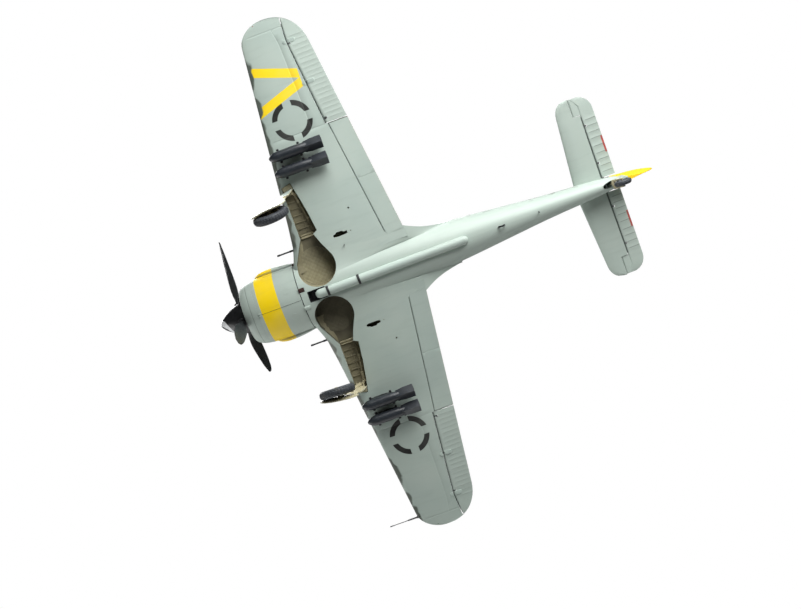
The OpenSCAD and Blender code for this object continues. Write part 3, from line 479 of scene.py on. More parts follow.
def cleaned(obj, merge=2e-6):
    bm = bmesh.new()
    bm.from_mesh(obj.data)
    bmesh.ops.remove_doubles(bm, verts=bm.verts, dist=merge)
    bmesh.ops.dissolve_degenerate(bm, edges=bm.edges, dist=merge * 0.5)
    loose = [v for v in bm.verts if not v.link_faces]
    bmesh.ops.delete(bm, geom=loose, context="VERTS")
    bmesh.ops.recalc_face_normals(bm, faces=bm.faces)
    bm.to_mesh(obj.data)
    bm.free()


def raw_object(name, shape):
    mesh = bpy.data.meshes.new(name)
    mesh.from_pydata(place(shape.v).tolist(), [], shape.f)
    attribute = mesh.attributes.new("wash", "FLOAT", "POINT")
    attribute.data.foreach_set("value", np.array(shape.w, np.float32))
    obj = bpy.data.objects.new(name, mesh)
    bpy.context.scene.collection.objects.link(obj)
    cleaned(obj)
    return obj


def carve(obj, cutter, operation="DIFFERENCE"):
    """Cuts obj by a shape, or joins them, and keeps the result in its mesh."""
    tool = raw_object(obj.name + "_tool", cutter)
    mod = obj.modifiers.new("cut", "BOOLEAN")
    mod.operation, mod.solver, mod.object = operation, "EXACT", tool
    depsgraph = bpy.context.evaluated_depsgraph_get()
    depsgraph.update()
    mesh = bpy.data.meshes.new_from_object(obj.evaluated_get(depsgraph))
    old = obj.data
    obj.modifiers.clear()
    obj.data = mesh
    bpy.data.meshes.remove(old)
    bpy.data.objects.remove(tool)
    return obj


def piece(name, shape, finish, replaces=(), angle=32, cuts=(), body="airframe"):
    """A finished piece: cut, smoothed up to an angle, painted, and riding on its body."""
    obj = raw_object(name, shape) if isinstance(shape, Shape) else shape
    for cut in cuts:
        carve(obj, cut)
    obj.data.polygons.foreach_set("use_smooth", [True] * len(obj.data.polygons))
    obj.data.set_sharp_from_angle(angle=math.radians(angle))
    obj.data.materials.clear()
    obj.data.materials.append(MAT[finish])
    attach(obj, body)
    if replaces:
        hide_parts(*replaces)


def with_lines(base, marks, w):
    """Grid values with four more at each groove."""
    kept = [b for b in base if all(abs(b - m) > 1.6 * w for m in marks)]
    return sorted(kept + [m + k * w for m in marks for k in (-1, -0.45, 0.45, 1)])


def in_groove(v, marks, w):
    return max([min(1.0, max(0.0, (w - abs(v - m)) / (0.55 * w))) for m in marks], default=0.0)


# ---------------------------------------------------------------- materials

def linear(rgb):
    """Display colour, 0 to 255, to the linear colour that a shader takes."""
    parts = (c / 255 for c in rgb)
    return (*(c / 12.92 if c <= 0.04045 else ((c + 0.055) / 1.055) ** 2.4 for c in parts), 1.0)


class Finish:
    """Node tree of one material. Positions are in datum millimetres."""

    def __init__(self, name, metallic=0.0, coat=0.0, specular=0.5):
        self.mat = bpy.data.materials.new(name)
        self.mat.use_nodes = True
        self.tree = self.mat.node_tree
        self.tree.nodes.clear()
        self.shader = self.node("BsdfPrincipled", {"Metallic": metallic, "Coat Weight": coat,
                                                   "Specular IOR Level": specular})
        self.node("OutputMaterial", {"Surface": self.shader.outputs["BSDF"]})
        self.pos = self.node("Mapping", {"Vector": self.node("TexCoord").outputs["Object"],
                                         "Scale": (1 / MM,) * 3, "Location": tuple(DATUM)}).outputs["Vector"]
        self.x, self.y, self.z = self.node("SeparateXYZ", {0: self.pos}).outputs

    def node(self, kind, inputs=None, **settings):
        """New node with its settings, and a value or a link at each input."""
        node = self.tree.nodes.new("ShaderNode" + kind)
        for key, value in settings.items():
            setattr(node, key, value)
        for key, value in (inputs or {}).items():
            if isinstance(value, bpy.types.NodeSocket):
                self.tree.links.new(value, node.inputs[key])
            else:
                node.inputs[key].default_value = value
        return node

    def math(self, op, a, b=0.0):
        return self.node("Math", {0: a, 1: b}, operation=op).outputs[0]

    def add(self, a, b):
        return self.math("ADD", a, b)

    def times(self, a, b):
        return self.math("MULTIPLY", a, b)

    def ramp(self, value, lo, hi, to=(0.0, 1.0)):
        return self.node("MapRange", dict(enumerate((value, lo, hi, *to))), clamp=True).outputs[0]

    def band(self, value, lo, hi, soft=0.12):
        """1 between lo and hi."""
        return self.times(self.ramp(value, lo - soft, lo + soft), self.ramp(value, hi - soft, hi + soft, (1.0, 0.0)))

    def noise(self, scale, detail=2.0, rough=0.5, stretch=None):
        """Noise with about scale features per millimetre."""
        vector = self.pos
        if stretch is not None:
            vector = self.node("Mapping", {"Vector": vector, "Scale": stretch}).outputs[0]
        return self.node("TexNoise", {"Vector": vector, "Scale": scale, "Detail": detail,
                                      "Roughness": rough}).outputs[0]

    def mix(self, fac, a, b):
        return self.node("Mix", {"Factor": fac, 6: a, 7: b}, data_type="RGBA").outputs[2]

    def mottle(self, scale, detail, one, other, low=0.35, rough=0.5):
        """Two display colours in soft blotches."""
        return self.mix(self.ramp(self.noise(scale, detail, rough), low, 1 - low), linear(one), linear(other))

    def gloss(self, scale, detail, low, high):
        """Uneven roughness between two values."""
        return self.ramp(self.noise(scale, detail), 0.3, 0.7, (low, high))

    def facing(self, axis):
        """How far the face looks along an axis, at rest."""
        return self.node("SeparateXYZ", {0: self.node("TexCoord").outputs["Normal"]}).outputs[axis]

    def attribute(self, name):
        return self.node("Attribute", attribute_name=name).outputs["Fac"]

    def bump(self, height, strength, distance):
        return self.node("Bump", {"Strength": strength, "Distance": distance * MM, "Height": height}).outputs[0]

    def done(self, colour, roughness, normal=None):
        for key, value in (("Base Color", colour), ("Roughness", roughness), ("Normal", normal)):
            if value is not None:
                self.tree.links.new(value, self.shader.inputs[key])
        return self.mat


def grime_and_shade(f, colour, dirt=(104, 112, 106), amount=0.16):
    """Panel-line wash and faint uneven tone over a paint colour; on the cowling blister's lower join the wash is
    painted shade.
    """
    colour = f.mix(f.times(f.gloss(0.05, 4, 0.0, 1.0), 0.10), colour, linear((205, 208, 200)))
    streak = f.ramp(f.noise(0.35, 3, 0.6, stretch=(1.0, 0.12, 1.0)), 0.52, 0.8)
    colour = f.mix(f.times(streak, 0.10), colour, linear(dirt))
    return f.mix(f.times(f.attribute("wash"), amount), colour, linear(dirt))


def satin(f, colour, rough=0.42, spread=0.10, grain=0.35):
    """Sprayed paint: uneven gloss and a very fine orange peel."""
    gloss = f.gloss(0.6, 3, rough - spread / 2, rough + spread / 2)
    return f.done(colour, gloss, f.bump(f.noise(3.2, 2), grain, 0.02))


PALE = linear((176, 190, 181))
DARK_A = linear((84, 92, 84))
DARK_B = linear((108, 113, 104))
YELLOW = linear((255, 219, 0))
BLACK = linear((10, 10, 11))
RED = linear((176, 70, 62))


def camouflage(f):
    """Two dark tones in broad soft-edged areas."""
    bend = f.add(f.times(f.x, 0.052), f.times(f.y, 0.038))
    wave = f.math("SINE", f.add(bend, f.times(f.noise(0.012, 1), 5.0)))
    return f.mix(f.ramp(wave, -0.12, 0.12), DARK_A, DARK_B)


def pale_below(f):
    """Pale on the faces that look down, camouflaged on the others."""
    return f.mix(f.ramp(f.facing(2), -0.05, 0.1), PALE, camouflage(f))


def mark_ring(f, cx, cy, r=12.2, width=3.3, open_half=2.6):
    """Four arcs of a broken ring."""
    dx, dy = f.add(f.math("ABSOLUTE", f.x), -cx), f.add(f.y, -cy)
    dist = f.math("SQRT", f.add(f.times(dx, dx), f.times(dy, dy)))
    ring = f.band(dist, r - width, r, 0.1)
    gap_x = f.ramp(f.math("ABSOLUTE", dx), open_half - 0.1, open_half + 0.1)
    gap_y = f.ramp(f.math("ABSOLUTE", dy), open_half - 0.1, open_half + 0.1)
    return f.times(ring, f.times(gap_x, gap_y))


def stripe(f, a, b, half):
    """1 within half a width of the line through two points seen from above."""
    a, b = np.array(a), np.array(b)
    n = np.array([a[1] - b[1], b[0] - a[0]]) / np.linalg.norm(b - a)
    offset = f.add(f.times(f.x, float(n[0])), f.add(f.times(f.y, float(n[1])), -float(n @ a)))
    return f.band(offset, -half, half, 0.1)


def underside_material(name, wing=False):
    f = Finish(name, specular=0.3)
    colour = f.mix(f.ramp(f.noise(0.03, 2), 0.35, 0.65), PALE, linear((170, 185, 177)))
    if wing:
        u = f.math("ABSOLUTE", f.x)
        colour = f.mix(mark_ring(f, 102, 85.4), colour, BLACK)
        arms = f.math("MAXIMUM", stripe(f, (138.3, 67.0), (127.3, 98.0), 2.75),
                      stripe(f, (111.5, 67.0), (121.7, 98.3), 2.75))
        arms = f.times(arms, f.band(f.y, 40, 98.6, 0.1))
        colour = f.mix(f.times(arms, f.ramp(f.x, 0, 1)), colour, YELLOW)
        edge = f.add(f.y, f.add(f.times(u, -0.1008), -56.3))
        wavy = f.add(edge, f.times(f.ramp(f.noise(0.07, 2), 0.4, 0.62), -3.4))
        dark = f.times(f.ramp(wavy, -0.9, 0.1, (1.0, 0.0)), f.ramp(u, 27, 31))
        colour = f.mix(dark, colour, camouflage(f))
    return satin(f, grime_and_shade(f, colour))


def upper_material(name):
    """Camouflage outside, primer on the faces that look down into the bays."""
    f = Finish(name, coat=0.05)
    primer = f.mottle(0.2, 3, (150, 144, 116), (132, 126, 100))
    paint = grime_and_shade(f, camouflage(f), (46, 50, 46), 0.6)
    return satin(f, f.mix(f.ramp(f.facing(2), -0.6, -0.4), primer, paint), 0.48)


def body_material(name, cowling=False):
    """Pale below, dark above, with mottled flanks."""
    f = Finish(name, specular=0.3)
    height = f.add(f.z, f.times(f.add(f.noise(0.06, 2), -0.5), 9.0))
    spots = f.times(f.ramp(f.noise(0.16, 2), 0.56, 0.62), f.ramp(f.z, -3, 4))
    colour = f.mix(f.times(spots, 0.65), PALE, DARK_B)
    colour = f.mix(f.ramp(height, 9.5, 12.5), colour, camouflage(f))
    if cowling:
        colour = f.mix(f.band(f.y, 28.7, 40.8, 0.1), colour, YELLOW)
    return satin(f, grime_and_shade(f, colour, amount=0.55 if cowling else 0.16))


def tail_material(name):
    """Dark above and pale below, with a red tab on each elevator."""
    f = Finish(name, coat=0.06)
    tab = f.times(f.band(f.math("ABSOLUTE", f.x), 19.0, 29.5), f.ramp(f.y, 256.9, 257.1))
    tab = f.times(tab, f.band(f.z, TAIL_Z - 1, TAIL_Z + 1))
    return satin(f, grime_and_shade(f, f.mix(tab, pale_below(f), RED), amount=0.75))


def two_sided_material(name):
    f = Finish(name, coat=0.06)
    return satin(f, grime_and_shade(f, pale_below(f)))


def rudder_material(name):
    """Yellow, with the pale paint of the tail cone running onto its lower front."""
    f = Finish(name, specular=0.3)
    colour = f.mottle(0.1, 3, (252, 214, 0), (246, 204, 0))
    pale = f.times(f.ramp(f.y, 263.2, 263.5, (1.0, 0.0)), f.ramp(f.z, 22, 22.4, (1.0, 0.0)))
    return satin(f, grime_and_shade(f, f.mix(pale, colour, PALE), (120, 104, 40)), 0.4)


def simple(name, rgb, other, rough=0.45, metallic=0.0, scale=0.4, coat=0.0, grain=0.4, fine=2.5):
    """Two-tone mottled finish with fine bump and dirt in the corners."""
    f = Finish(name, metallic=metallic, coat=coat)
    colour = f.mottle(scale, 4, rgb, other, 0.3, 0.6)
    colour = f.mix(f.times(f.attribute("wash"), 0.8), colour, linear(tuple(c * 0.35 for c in rgb)))
    return f.done(colour, f.gloss(scale * 2.3, 3, rough - 0.07, rough + 0.09), f.bump(f.noise(fine, 3), grain, 0.03))


def spinner_material(name):
    """Black with a white spiral that starts at the tip, round the right side and over the top."""
    f = Finish(name, coat=0.2)
    turned = f.math("FRACT", f.math("DIVIDE", f.math("ARCTAN2", f.z, f.x), -2 * math.pi))
    ahead = f.add(f.add(f.ramp(turned, 0.24, 0.34, (-0.5, 3.4)), f.ramp(turned, 0.34, 0.5, (0.0, 3.0))),
                  f.ramp(turned, 0.5, 1.0, (0.0, 8.0)))
    behind = f.add(f.ramp(turned, 0.0, 0.5, (0.8, 8.6)), f.ramp(turned, 0.5, 1.0, (0.0, 14.0)))
    white = f.times(f.ramp(f.math("SUBTRACT", f.y, ahead), -0.08, 0.08),
                    f.ramp(f.math("SUBTRACT", behind, f.y), -0.08, 0.08))
    white = f.times(white, f.ramp(turned, 0.88, 0.9, (1.0, 0.0)))
    colour = f.mottle(0.5, 3, (10, 10, 11), (30, 31, 33), 0.3)
    return satin(f, f.mix(white, colour, linear((236, 239, 240))), 0.36)


def glass_material(name):
    f = Finish(name)
    f.shader.inputs["Transmission Weight"].default_value = 1.0
    f.shader.inputs["IOR"].default_value = 1.3
    return f.done(f.mottle(0.2, 2, (238, 244, 242), (228, 237, 234)), f.gloss(0.5, 3, 0.02, 0.07))


def outlet_material(name):
    """Burnt pipes on the left, painted fairings on the right."""
    f = Finish(name, specular=0.3)
    return satin(f, f.mix(f.ramp(f.x, -1, 1), PALE, f.mottle(1.1, 3, (70, 40, 34), (40, 28, 26))), 0.55)


def rubber_material(name):
    f = Finish(name)
    colour = f.mottle(0.7, 4, (52, 57, 63), (68, 72, 77), 0.3, 0.65)
    colour = f.mix(f.times(f.attribute("wash"), 0.7), colour, linear((26, 28, 31)))
    colour = f.mix(f.times(f.ramp(f.noise(0.25, 3), 0.55, 0.75), 0.25), colour, linear((118, 112, 98)))
    return f.done(colour, f.gloss(1.2, 2, 0.5, 0.68), f.bump(f.noise(2.2, 3), 0.4, 0.05))


def painted_bay_shade(f, colour):
    """Painted shade: over the whole right bay, and on the rear outer side of the left one, strongest on the inboard
    side.
    """
    left = f.times(f.ramp(f.add(f.x, f.y), 76, 103, (0.0, 0.62)), f.ramp(f.x, -1, 1))
    shade_amount = f.times(f.ramp(f.math("ABSOLUTE", f.x), 28, 40, (1.0, 0.35)), f.add(f.ramp(f.x, -1, 1, (0.72, 0.0)), left))
    return f.mix(shade_amount, colour, linear((52, 50, 42)))


def bay_material(name):
    f = Finish(name)
    # Bay primer with painted shade over the bays.
    return satin(f, painted_bay_shade(f, f.mottle(0.25, 4, (150, 144, 116), (132, 126, 100), 0.3)), 0.6)


def canvas_material(name):
    """Khaki lining with woven grain, dirt in the seams, and painted shade over the bays."""
    f = Finish(name)
    colour = painted_bay_shade(f, f.mottle(0.2, 4, (176, 170, 138), (158, 152, 122), 0.3))
    colour = f.mix(f.times(f.attribute("wash"), 0.28), colour, linear((88, 84, 66)))
    weave = f.times(f.math("SINE", f.times(f.x, 14.0)), f.math("SINE", f.times(f.y, 14.0)))
    return f.done(colour, f.gloss(0.8, 3, 0.6, 0.75), f.bump(weave, 0.25, 0.03))


def lens_material(name, rgb):
    f = Finish(name, coat=0.6)
    return f.done(f.mottle(1.5, 2, rgb, tuple(c * 0.7 for c in rgb)), f.gloss(2.0, 2, 0.08, 0.16))


def door_material(name):
    """Leg door: pale paint outside, cream lining on the face towards the leg."""
    f = Finish(name, coat=0.05)
    outside = f.ramp(f.times(f.facing(0), f.math("SIGN", f.x)), 0.05, 0.3)
    lining = f.mottle(0.3, 3, (200, 195, 166), (172, 166, 138))
    return satin(f, grime_and_shade(f, f.mix(outside, lining, PALE)))


def floor_material(name):
    f = Finish(name)
    colour = f.mottle(0.002, 3, (252, 252, 252), (246, 246, 246), 0.3)
    return f.done(colour, f.gloss(0.01, 2, 0.7, 0.8), f.bump(f.noise(0.02, 3), 0.2, 0.3))


MAT = {
    "door": door_material("leg door paint"),
    "floor": floor_material("studio floor"),
    "under": underside_material("underside paint"),
    "under_upper": two_sided_material("aileron paint"),
    "red_glass": lens_material("red lens", (170, 24, 20)),
    "green_glass": lens_material("green lens", (30, 120, 60)),
    "wing_under": underside_material("wing underside paint", wing=True),
    "upper": upper_material("upper camouflage"),
    "body": body_material("fuselage paint"),
    "cowl": body_material("cowling paint", cowling=True),
    "tail": tail_material("tail paint"),
    "rudder": rudder_material("rudder paint"),
    # bay paint and bay canvas carry painted shade over the wheel bays
    "bay": bay_material("bay paint with painted shade"),
    "canvas": canvas_material("bay canvas with painted shade"),
    "gear": simple("gear paint", (184, 177, 146), (156, 149, 120), 0.5, scale=0.5),
    # darker copy of the pale underside: painted shade for the sheets inside the hinge gaps
    "gap": simple("hinge gap painted shade", (120, 130, 124), (100, 108, 104), 0.6, scale=0.3),
    "steel": simple("polished steel", (190, 192, 196), (150, 152, 158), 0.28, 1.0, scale=1.2),
    "bare": simple("bare metal", (150, 150, 150), (110, 110, 112), 0.42, 0.9, scale=0.8),
    "engine": simple("engine enamel", (88, 92, 96), (60, 62, 66), 0.5, 0.4, scale=0.9),
    "burnt": simple("burnt metal", (66, 44, 36), (38, 30, 28), 0.6, 0.5, scale=1.1),
    "outlets": outlet_material("exhaust outlet paint"),
    "cockpit": simple("cockpit paint", (74, 80, 78), (58, 62, 62), 0.6, scale=0.5),
    "leather": simple("seat leather", (88, 58, 38), (62, 42, 30), 0.55, scale=0.9, fine=1.4, grain=0.7),
    "webbing": simple("harness webbing", (168, 156, 128), (140, 128, 100), 0.8, scale=1.5),
    "black": simple("black plastic", (26, 27, 29), (36, 37, 40), 0.5, scale=0.8),
    "blade": simple("blade paint", (38, 42, 42), (50, 54, 54), 0.4, scale=0.3, coat=0.1),
    "bomb": simple("bomb enamel", (42, 47, 53), (32, 36, 41), 0.38, scale=0.25, coat=0.1),
    "spinner": spinner_material("spinner paint"),
    "glass": glass_material("canopy glazing"),
    "tyre": rubber_material("tyre rubber"),
    "dial": simple("dial paint", (214, 214, 204), (180, 182, 172), 0.4, scale=2.0),
}


# ---------------------------------------------------------------- fuselage

LINE_W = 0.24
LINE_D = 0.06


def bezier(a, b, c, n=6):
    """Points along a curve from a to c that leans towards b."""
    a, b, c = (np.asarray(p, float) for p in (a, b, c))
    return [a * (1 - t) ** 2 + 2 * b * t * (1 - t) + c * t * t for t in np.linspace(0, 1, n)]


FRAMES = [(64.5, 5, 90), (97, 5, 60), (129, 5, 60), (149, 5, 90), (168, 5, 90), (187, 5, 90), (207, 5, 90),
          (228, 5, 90), (246, 5, 90)]
STRINGERS = [(8, 64.5, 187), (44, 129, 246)]
STRINGER_W = 1.1   # degrees


def fuselage_half():
    ys = with_lines(list(np.arange(54.4, 256.8, 2.6)) + [257.4], [m[0] for m in FRAMES], LINE_W)
    angles = with_lines(list(np.arange(-90, 90.1, 5)), [m[0] for m in STRINGERS], STRINGER_W)

    def point(y, a):
        g = max([in_groove(y, [m], LINE_W) for m, a0, a1 in FRAMES if a0 <= a <= a1]
                + [in_groove(a, [m], STRINGER_W) for m, y0, y1 in STRINGERS if y0 <= y <= y1] + [0])
        return body_point(y, a, LINE_D * g), body_point(y, a, WALL), g

    return Shape().shell(ys, angles, point)


def fairing_x(y):
    return smooth_lookup(y, [(125.9, 20.8), (129, 19.2), (133, 17.3), (138, 15.6), (144, 14.2), (150, 13.2)])


def corner(p, tangent, z, x_end):
    """Where the tangent from p reaches height z, kept well short of x_end."""
    reach = (z - p[2]) / tangent[2] if abs(tangent[2]) > 1e-6 else 1e9
    x = p[0] + tangent[0] * reach
    x = min(max(x, p[0] + 0.05), mix(p[0], x_end, 0.55))
    return x, p[1], z


def root_fairing():
    """Fillet between the wing root and the fuselage, tangent to both, running out behind the trailing edge."""
    rings = []
    for y in list(np.linspace(75, 124, 18)) + list(np.linspace(125.9, 152, 12)):
        behind = clamp((y - 125.9) / 26)
        a_low, a_high = mix(-62, -34, clamp((y - 82) / 60)), mix(-14, 2, behind)
        low, high = (np.array(body_point(y, a, 0.02)) for a in (a_low, a_high))
        down = unit(np.array(body_point(y, a_low + 3)) - np.array(body_point(y, a_low)))
        up = unit(np.array(body_point(y, a_high - 3)) - np.array(body_point(y, a_high)))
        if y < 125.8:
            x = mix(25.5, 20.9, clamp((y - 80) / 24))
            edge_low = (x, y, wing_bottom(x, y) + 0.04)
            edge_high = (x, y, wing_top(x, y) - 0.04)
        else:
            x = max(fairing_x(y), body_value(y, 1) * 0.9)
            z = mix(-11.4, -4.6, behind ** 0.9)
            edge_low, edge_high = (x, y, z - 0.2), (x, y, z + 0.2)
        bend = corner(low, down, edge_low[2], x)
        if y < 125.8:
            bend = (bend[0], y, wing_bottom(bend[0], y) - 0.12)
        lower = bezier(low, bend, edge_low, 9)
        upper = bezier(edge_high, corner(high, up, edge_high[2] + 0.1, x), high, 7)
        rings.append(lower + upper + [(body_value(y, 1) * 0.72, y, mix(low[2], high[2], 0.5))])
    return Shape().loft(rings)


def circle(cx, cy, r, n=72):
    return [(cx + r * math.cos(2 * math.pi * k / n), cy + r * math.sin(2 * math.pi * k / n)) for k in range(n)]


def grown(outline, d):
    """A counter-clockwise outline moved outwards by d."""
    out, n = [], len(outline)
    for i in range(n):
        p0, p1, p2 = (np.array(outline[(i + k) % n], float) for k in (-1, 0, 1))
        n0 = unit(np.array([(p1 - p0)[1], -(p1 - p0)[0]]))
        n1 = unit(np.array([(p2 - p1)[1], -(p2 - p1)[0]]))
        out.append(tuple(p1 + (n0 + n1) * d / (1 + n0 @ n1)))
    return out


def bay_outlines(d):
    """Outlines of the round wheel bay and of the leg bay, moved outwards by d."""
    return circle(WHEEL_UP[0], WHEEL_UP[1], BAY_R + d), grown(BAY, d)


def bay_cutters():
    """Both bays as cutters through the lower skins."""
    return [Shape().prism(outline, -40, ROOF_Z + 0.7) for outline in bay_outlines(0.1)]


TAIL_OPENING = [(power(math.cos(t), 0.8) * 2.3, 255.5 + 8.6 * math.sin(t)) for t in np.linspace(0, 2 * math.pi, 33)[:-1]]
FUSELAGE_CUTS = [Shape().block((-9, COCKPIT_Y[0], 11), (8, COCKPIT_Y[1], 31), 0.8),
                 Shape().block((-3.4, RECESS_Y[0], -30), (3.4, RECESS_Y[1], -15), 0.3),
                 *bay_cutters(), Shape().prism(TAIL_OPENING, -12, 2.2),
                 Shape().drum(1.1, -20, 20, 24, frame_of((0, ELEVATOR_Y, TAIL_Z), (1, 0, 0)))]

for side, sided in SIDES:
    cuts = [sided(c) for c in FUSELAGE_CUTS]
    piece(f"fuselage_skin_{side}", sided(fuselage_half()), "body", [f"fuselage_{side}"], cuts=cuts)
    piece(f"root_fillet_{side}", sided(root_fairing()), "body", cuts=cuts[2:4])


def low_surface(x, y, up=0.0):
    """Height of whichever skin is lowest, wing or belly, moved up."""
    z = wing_bottom(x, y) if wing_le(x) < y < wing_te(x) else chord_z(x, y)
    if abs(x) < body_value(y, 1):
        belly = body_value(y, 4) - (body_value(y, 4) - body_value(y, 3)) * (
            1 - (abs(x) / body_value(y, 1)) ** (2 / FULLNESS)) ** (FULLNESS / 2)
        z = min(z, belly)
    return z + up


# ---------------------------------------------------------------- wings

CHORD = [0, 0.003, 0.010, 0.022, 0.04, 0.065, 0.1, 0.15, 0.21, 0.28, 0.36, 0.45, 0.55, 0.65, 0.75, 0.85, 0.93, 1]
SPAN = (list(np.arange(14, 150, 4.0)) + [151, 153.5, 155.5, 157.3, 158.8, 160, 161, 161.4, 161.55, 162.4, 163, 163.4,
                                        163.7, 163.9, HALF_SPAN])
LOWER_RIBS = [(93.3, 0.1, 0.74), (156.6, 0.1, 0.9)]
LOWER_SPARS = [(0.565, 93.3, 156.6)]
UPPER_RIBS = [(21.6, 0.3, 1), (44, 0.0, 0.7), (68.5, 0.0, 0.7), (93.3, 0.0, 0.74), (118.5, 0.0, 0.74),
              (141, 0.0, 0.76), (156.6, 0.0, 0.9)]
UPPER_SPARS = [(0.13, 30, 156.6), (0.33, 22, 156.6), (0.60, 22, 156.6)]


def wing_skin(upper):
    ribs, spars = (UPPER_RIBS, UPPER_SPARS) if upper else (LOWER_RIBS, LOWER_SPARS)
    face, end_line, inward, limit = ((wing_top, upper_end, -1, max) if upper else
                                     (wing_bottom, lower_end, 1, min))
    wf = LINE_W / 50
    edges = [FLAP_X[0] - GAP, FLAP_X[0] - GAP - 0.1, FLAP_X[1] + GAP + 0.08, AILERON_X[0] - GAP - 0.1]
    xs = sorted(set(with_lines(SPAN, [m[0] for m in ribs], LINE_W) + ([] if upper else edges)))

    def point(x, f):
        y = min(mix(wing_le(x), wing_te(x), f), end_line(x)) if f < 1 else end_line(x)
        g = max([in_groove(x, [m], LINE_W) for m, f0, f1 in ribs if f0 <= f <= f1]
                + [in_groove(f, [m], wf) for m, x0, x1 in spars if x0 <= x <= x1] + [0])
        z = face(x, y)
        back = limit(z + WALL * inward, chord_z(x, y) - 0.06 * inward)
        return (x, y, z + LINE_D * g * inward), (x, y, back), g

    return Shape().shell(xs, with_lines(CHORD, [m[0] for m in spars], wf), point)


def shell_slot():
    """Stepped opening for spent cases: narrow in front, wider in the middle."""
    x, y0, y1 = SLOT
    outline = [(x - 0.9, y0), (x + 0.6, y0), (x + 0.6, y0 + 1.2), (x + 1.5, y0 + 2.4), (x + 1.5, y0 + 5.6),
               (x + 0.6, y0 + 6.8), (x + 0.6, y1), (x - 0.9, y1), (x - 1.25, y0 + 6.4), (x - 1.25, y0 + 2.0)]
    return Shape().prism(outline, -25, -9)


WING_CUTS = [*bay_cutters(), shell_slot(),
             Shape().prism(circle(PEG[0], PEG[1], PEG[2], 24), -25, -8.5),
             Shape().prism(circle(SLOT[0] - 0.2, SLOT[2] + 2.2, 0.35, 16), -25, -9)]
for side, sided in SIDES:
    piece(f"wing_top_{side}", sided(wing_skin(True)), "upper", [f"wing_upper_{side}"])
    piece(f"wing_bottom_{side}", sided(wing_skin(False)), "wing_under", [f"wing_lower_{side}"],
          cuts=[sided(c) for c in WING_CUTS])


# ---------------------------------------------------------------- moving surfaces and tail

NOSE = [90 + 15 * k for k in range(13)]
FLANK = [0.0, 0.06, 0.2, 0.4, 0.6, 0.8, 0.94, 1.0]


def surface(xs, nose, tail, edge, tapes=(), tape_h=0.035, tape_w=0.3, swap=False):
    """Round-nosed surface that thins to its trailing edge, with raised rib tapes.

    nose(x) gives the height and place of the nose centre and its radius; tail(x) the trailing edge.
    With swap, the span runs up the Z axis instead of along X.
    """
    rings, wash = [], []
    for x in with_lines(xs, tapes, tape_w):
        y, z, r = nose(x)
        yt, zt = tail(x)
        lift = tape_h * in_groove(x, tapes, tape_w)
        mark = in_groove(x, tapes, tape_w)
        ring = [(y + p, z + q) for p, q in (ray(a, r) for a in NOSE)]
        low, high = [[(mix(y, yt, f), mix(z + way * r, zt + way * edge, f) + way * lift * (0.05 < f < 0.99))
                      for f in FLANK[1:]] for way in (-1, 1)]
        line = ring + low + high[::-1]
        rings.append([(q, p, x) if swap else (x, p, q) for p, q in line])
        wash.append([0.0] * len(ring) + [mark * (0.15 < f < 0.99) for f in FLANK[1:] + FLANK[:0:-1]])
    return Shape().loft(rings, wash)


def lug_slots(points, direction, reach=9.0, width=1.3):
    """Boxes that free the hinge lugs, which lie ahead of each point."""
    cuts = []
    for p in points:
        c = unit(direction)
        a = unit(np.array([0, -1.0, 0]) - c * (c @ np.array([0, -1.0, 0])))
        cuts.append(Shape().block((-0.9, -5, -width / 2), (reach, 5, width / 2), 0.05,
                                  columns(a, np.cross(c, a), c, p)))
    return cuts


def aileron_nose(x):
    c, r = (mix(a, b, (x - AILERON_X[0]) / (147 - AILERON_X[0]))
            for a, b in ((AILERON_A, AILERON_B), (AILERON_RA, AILERON_RB)))
    return c[1] + aileron_line(x) - (103.3 - 0.1 * (x - 93.6)), c[2], min(r, (wing_te(x) - aileron_line(x)) * 0.4)


AILERON_TAPES = [96.4 + 2.95 * k for k in range(20)]
AILERON_XS = sorted(list(np.arange(98, 150, 4.0)) + [AILERON_X[0], 152, 154, 156, 157.5, 159, 160.3, AILERON_X[1]])


def aileron():
    shape = surface(AILERON_XS, aileron_nose, lambda x: (wing_te(x), chord_z(x, wing_te(x))), TE_HALF * 0.8,
                    [t for t in AILERON_TAPES if t < 150])
    y = te_line(106.7)
    return shape.block((101.5, y - 1.2, chord_z(106.7, y) - 0.2), (112, y + 1.6, chord_z(106.7, y) + 0.2), 0.08)


def hinge_cover(x, aft):
    """Small raised cover over a hinge, on the wing or on the aileron."""
    line = aileron_line(x)
    y0, y1 = (line + 1.0, line + 5.6) if aft else (line - 2.2, line - GAP)
    n = 7
    pts = []
    for k in range(n + 1):
        t = math.pi * (0.5 - k / n) if aft else math.pi * (0.5 + k / n)
        pts.append((x + 1.25 * math.sin(t), (y1 - 1.25 if aft else y0 + 1.25) + 1.25 * math.cos(t)))
    pts = pts + ([(x - 1.25, y0), (x + 1.25, y0)] if aft else [(x - 1.25, y1), (x + 1.25, y1)])
    centre = np.mean(pts, axis=0)

    def z(p, d):
        if aft:
            cy, cz, r = aileron_nose(x)
            f = max((p[1] - cy) / (wing_te(x) - cy), 0)
            return mix(cz - r, chord_z(x, wing_te(x)) - TE_HALF, f) - d
        return wing_bottom(x, p[1]) - d

    steps = ((0, -0.25), (0, 0.16), (0.1, 0.30), (0.35, 0.34))
    return Shape().loft([[(*mix(np.array(p), centre, part), z(p, d)) for p in pts] for part, d in steps])


HINGE_COVERS = [120.4, 147.0]
AILERON_PINS = [mix(AILERON_A, AILERON_B, (x - AILERON_X[0]) / (147 - AILERON_X[0])) for x in (96.5, 120.4, 145.5)]


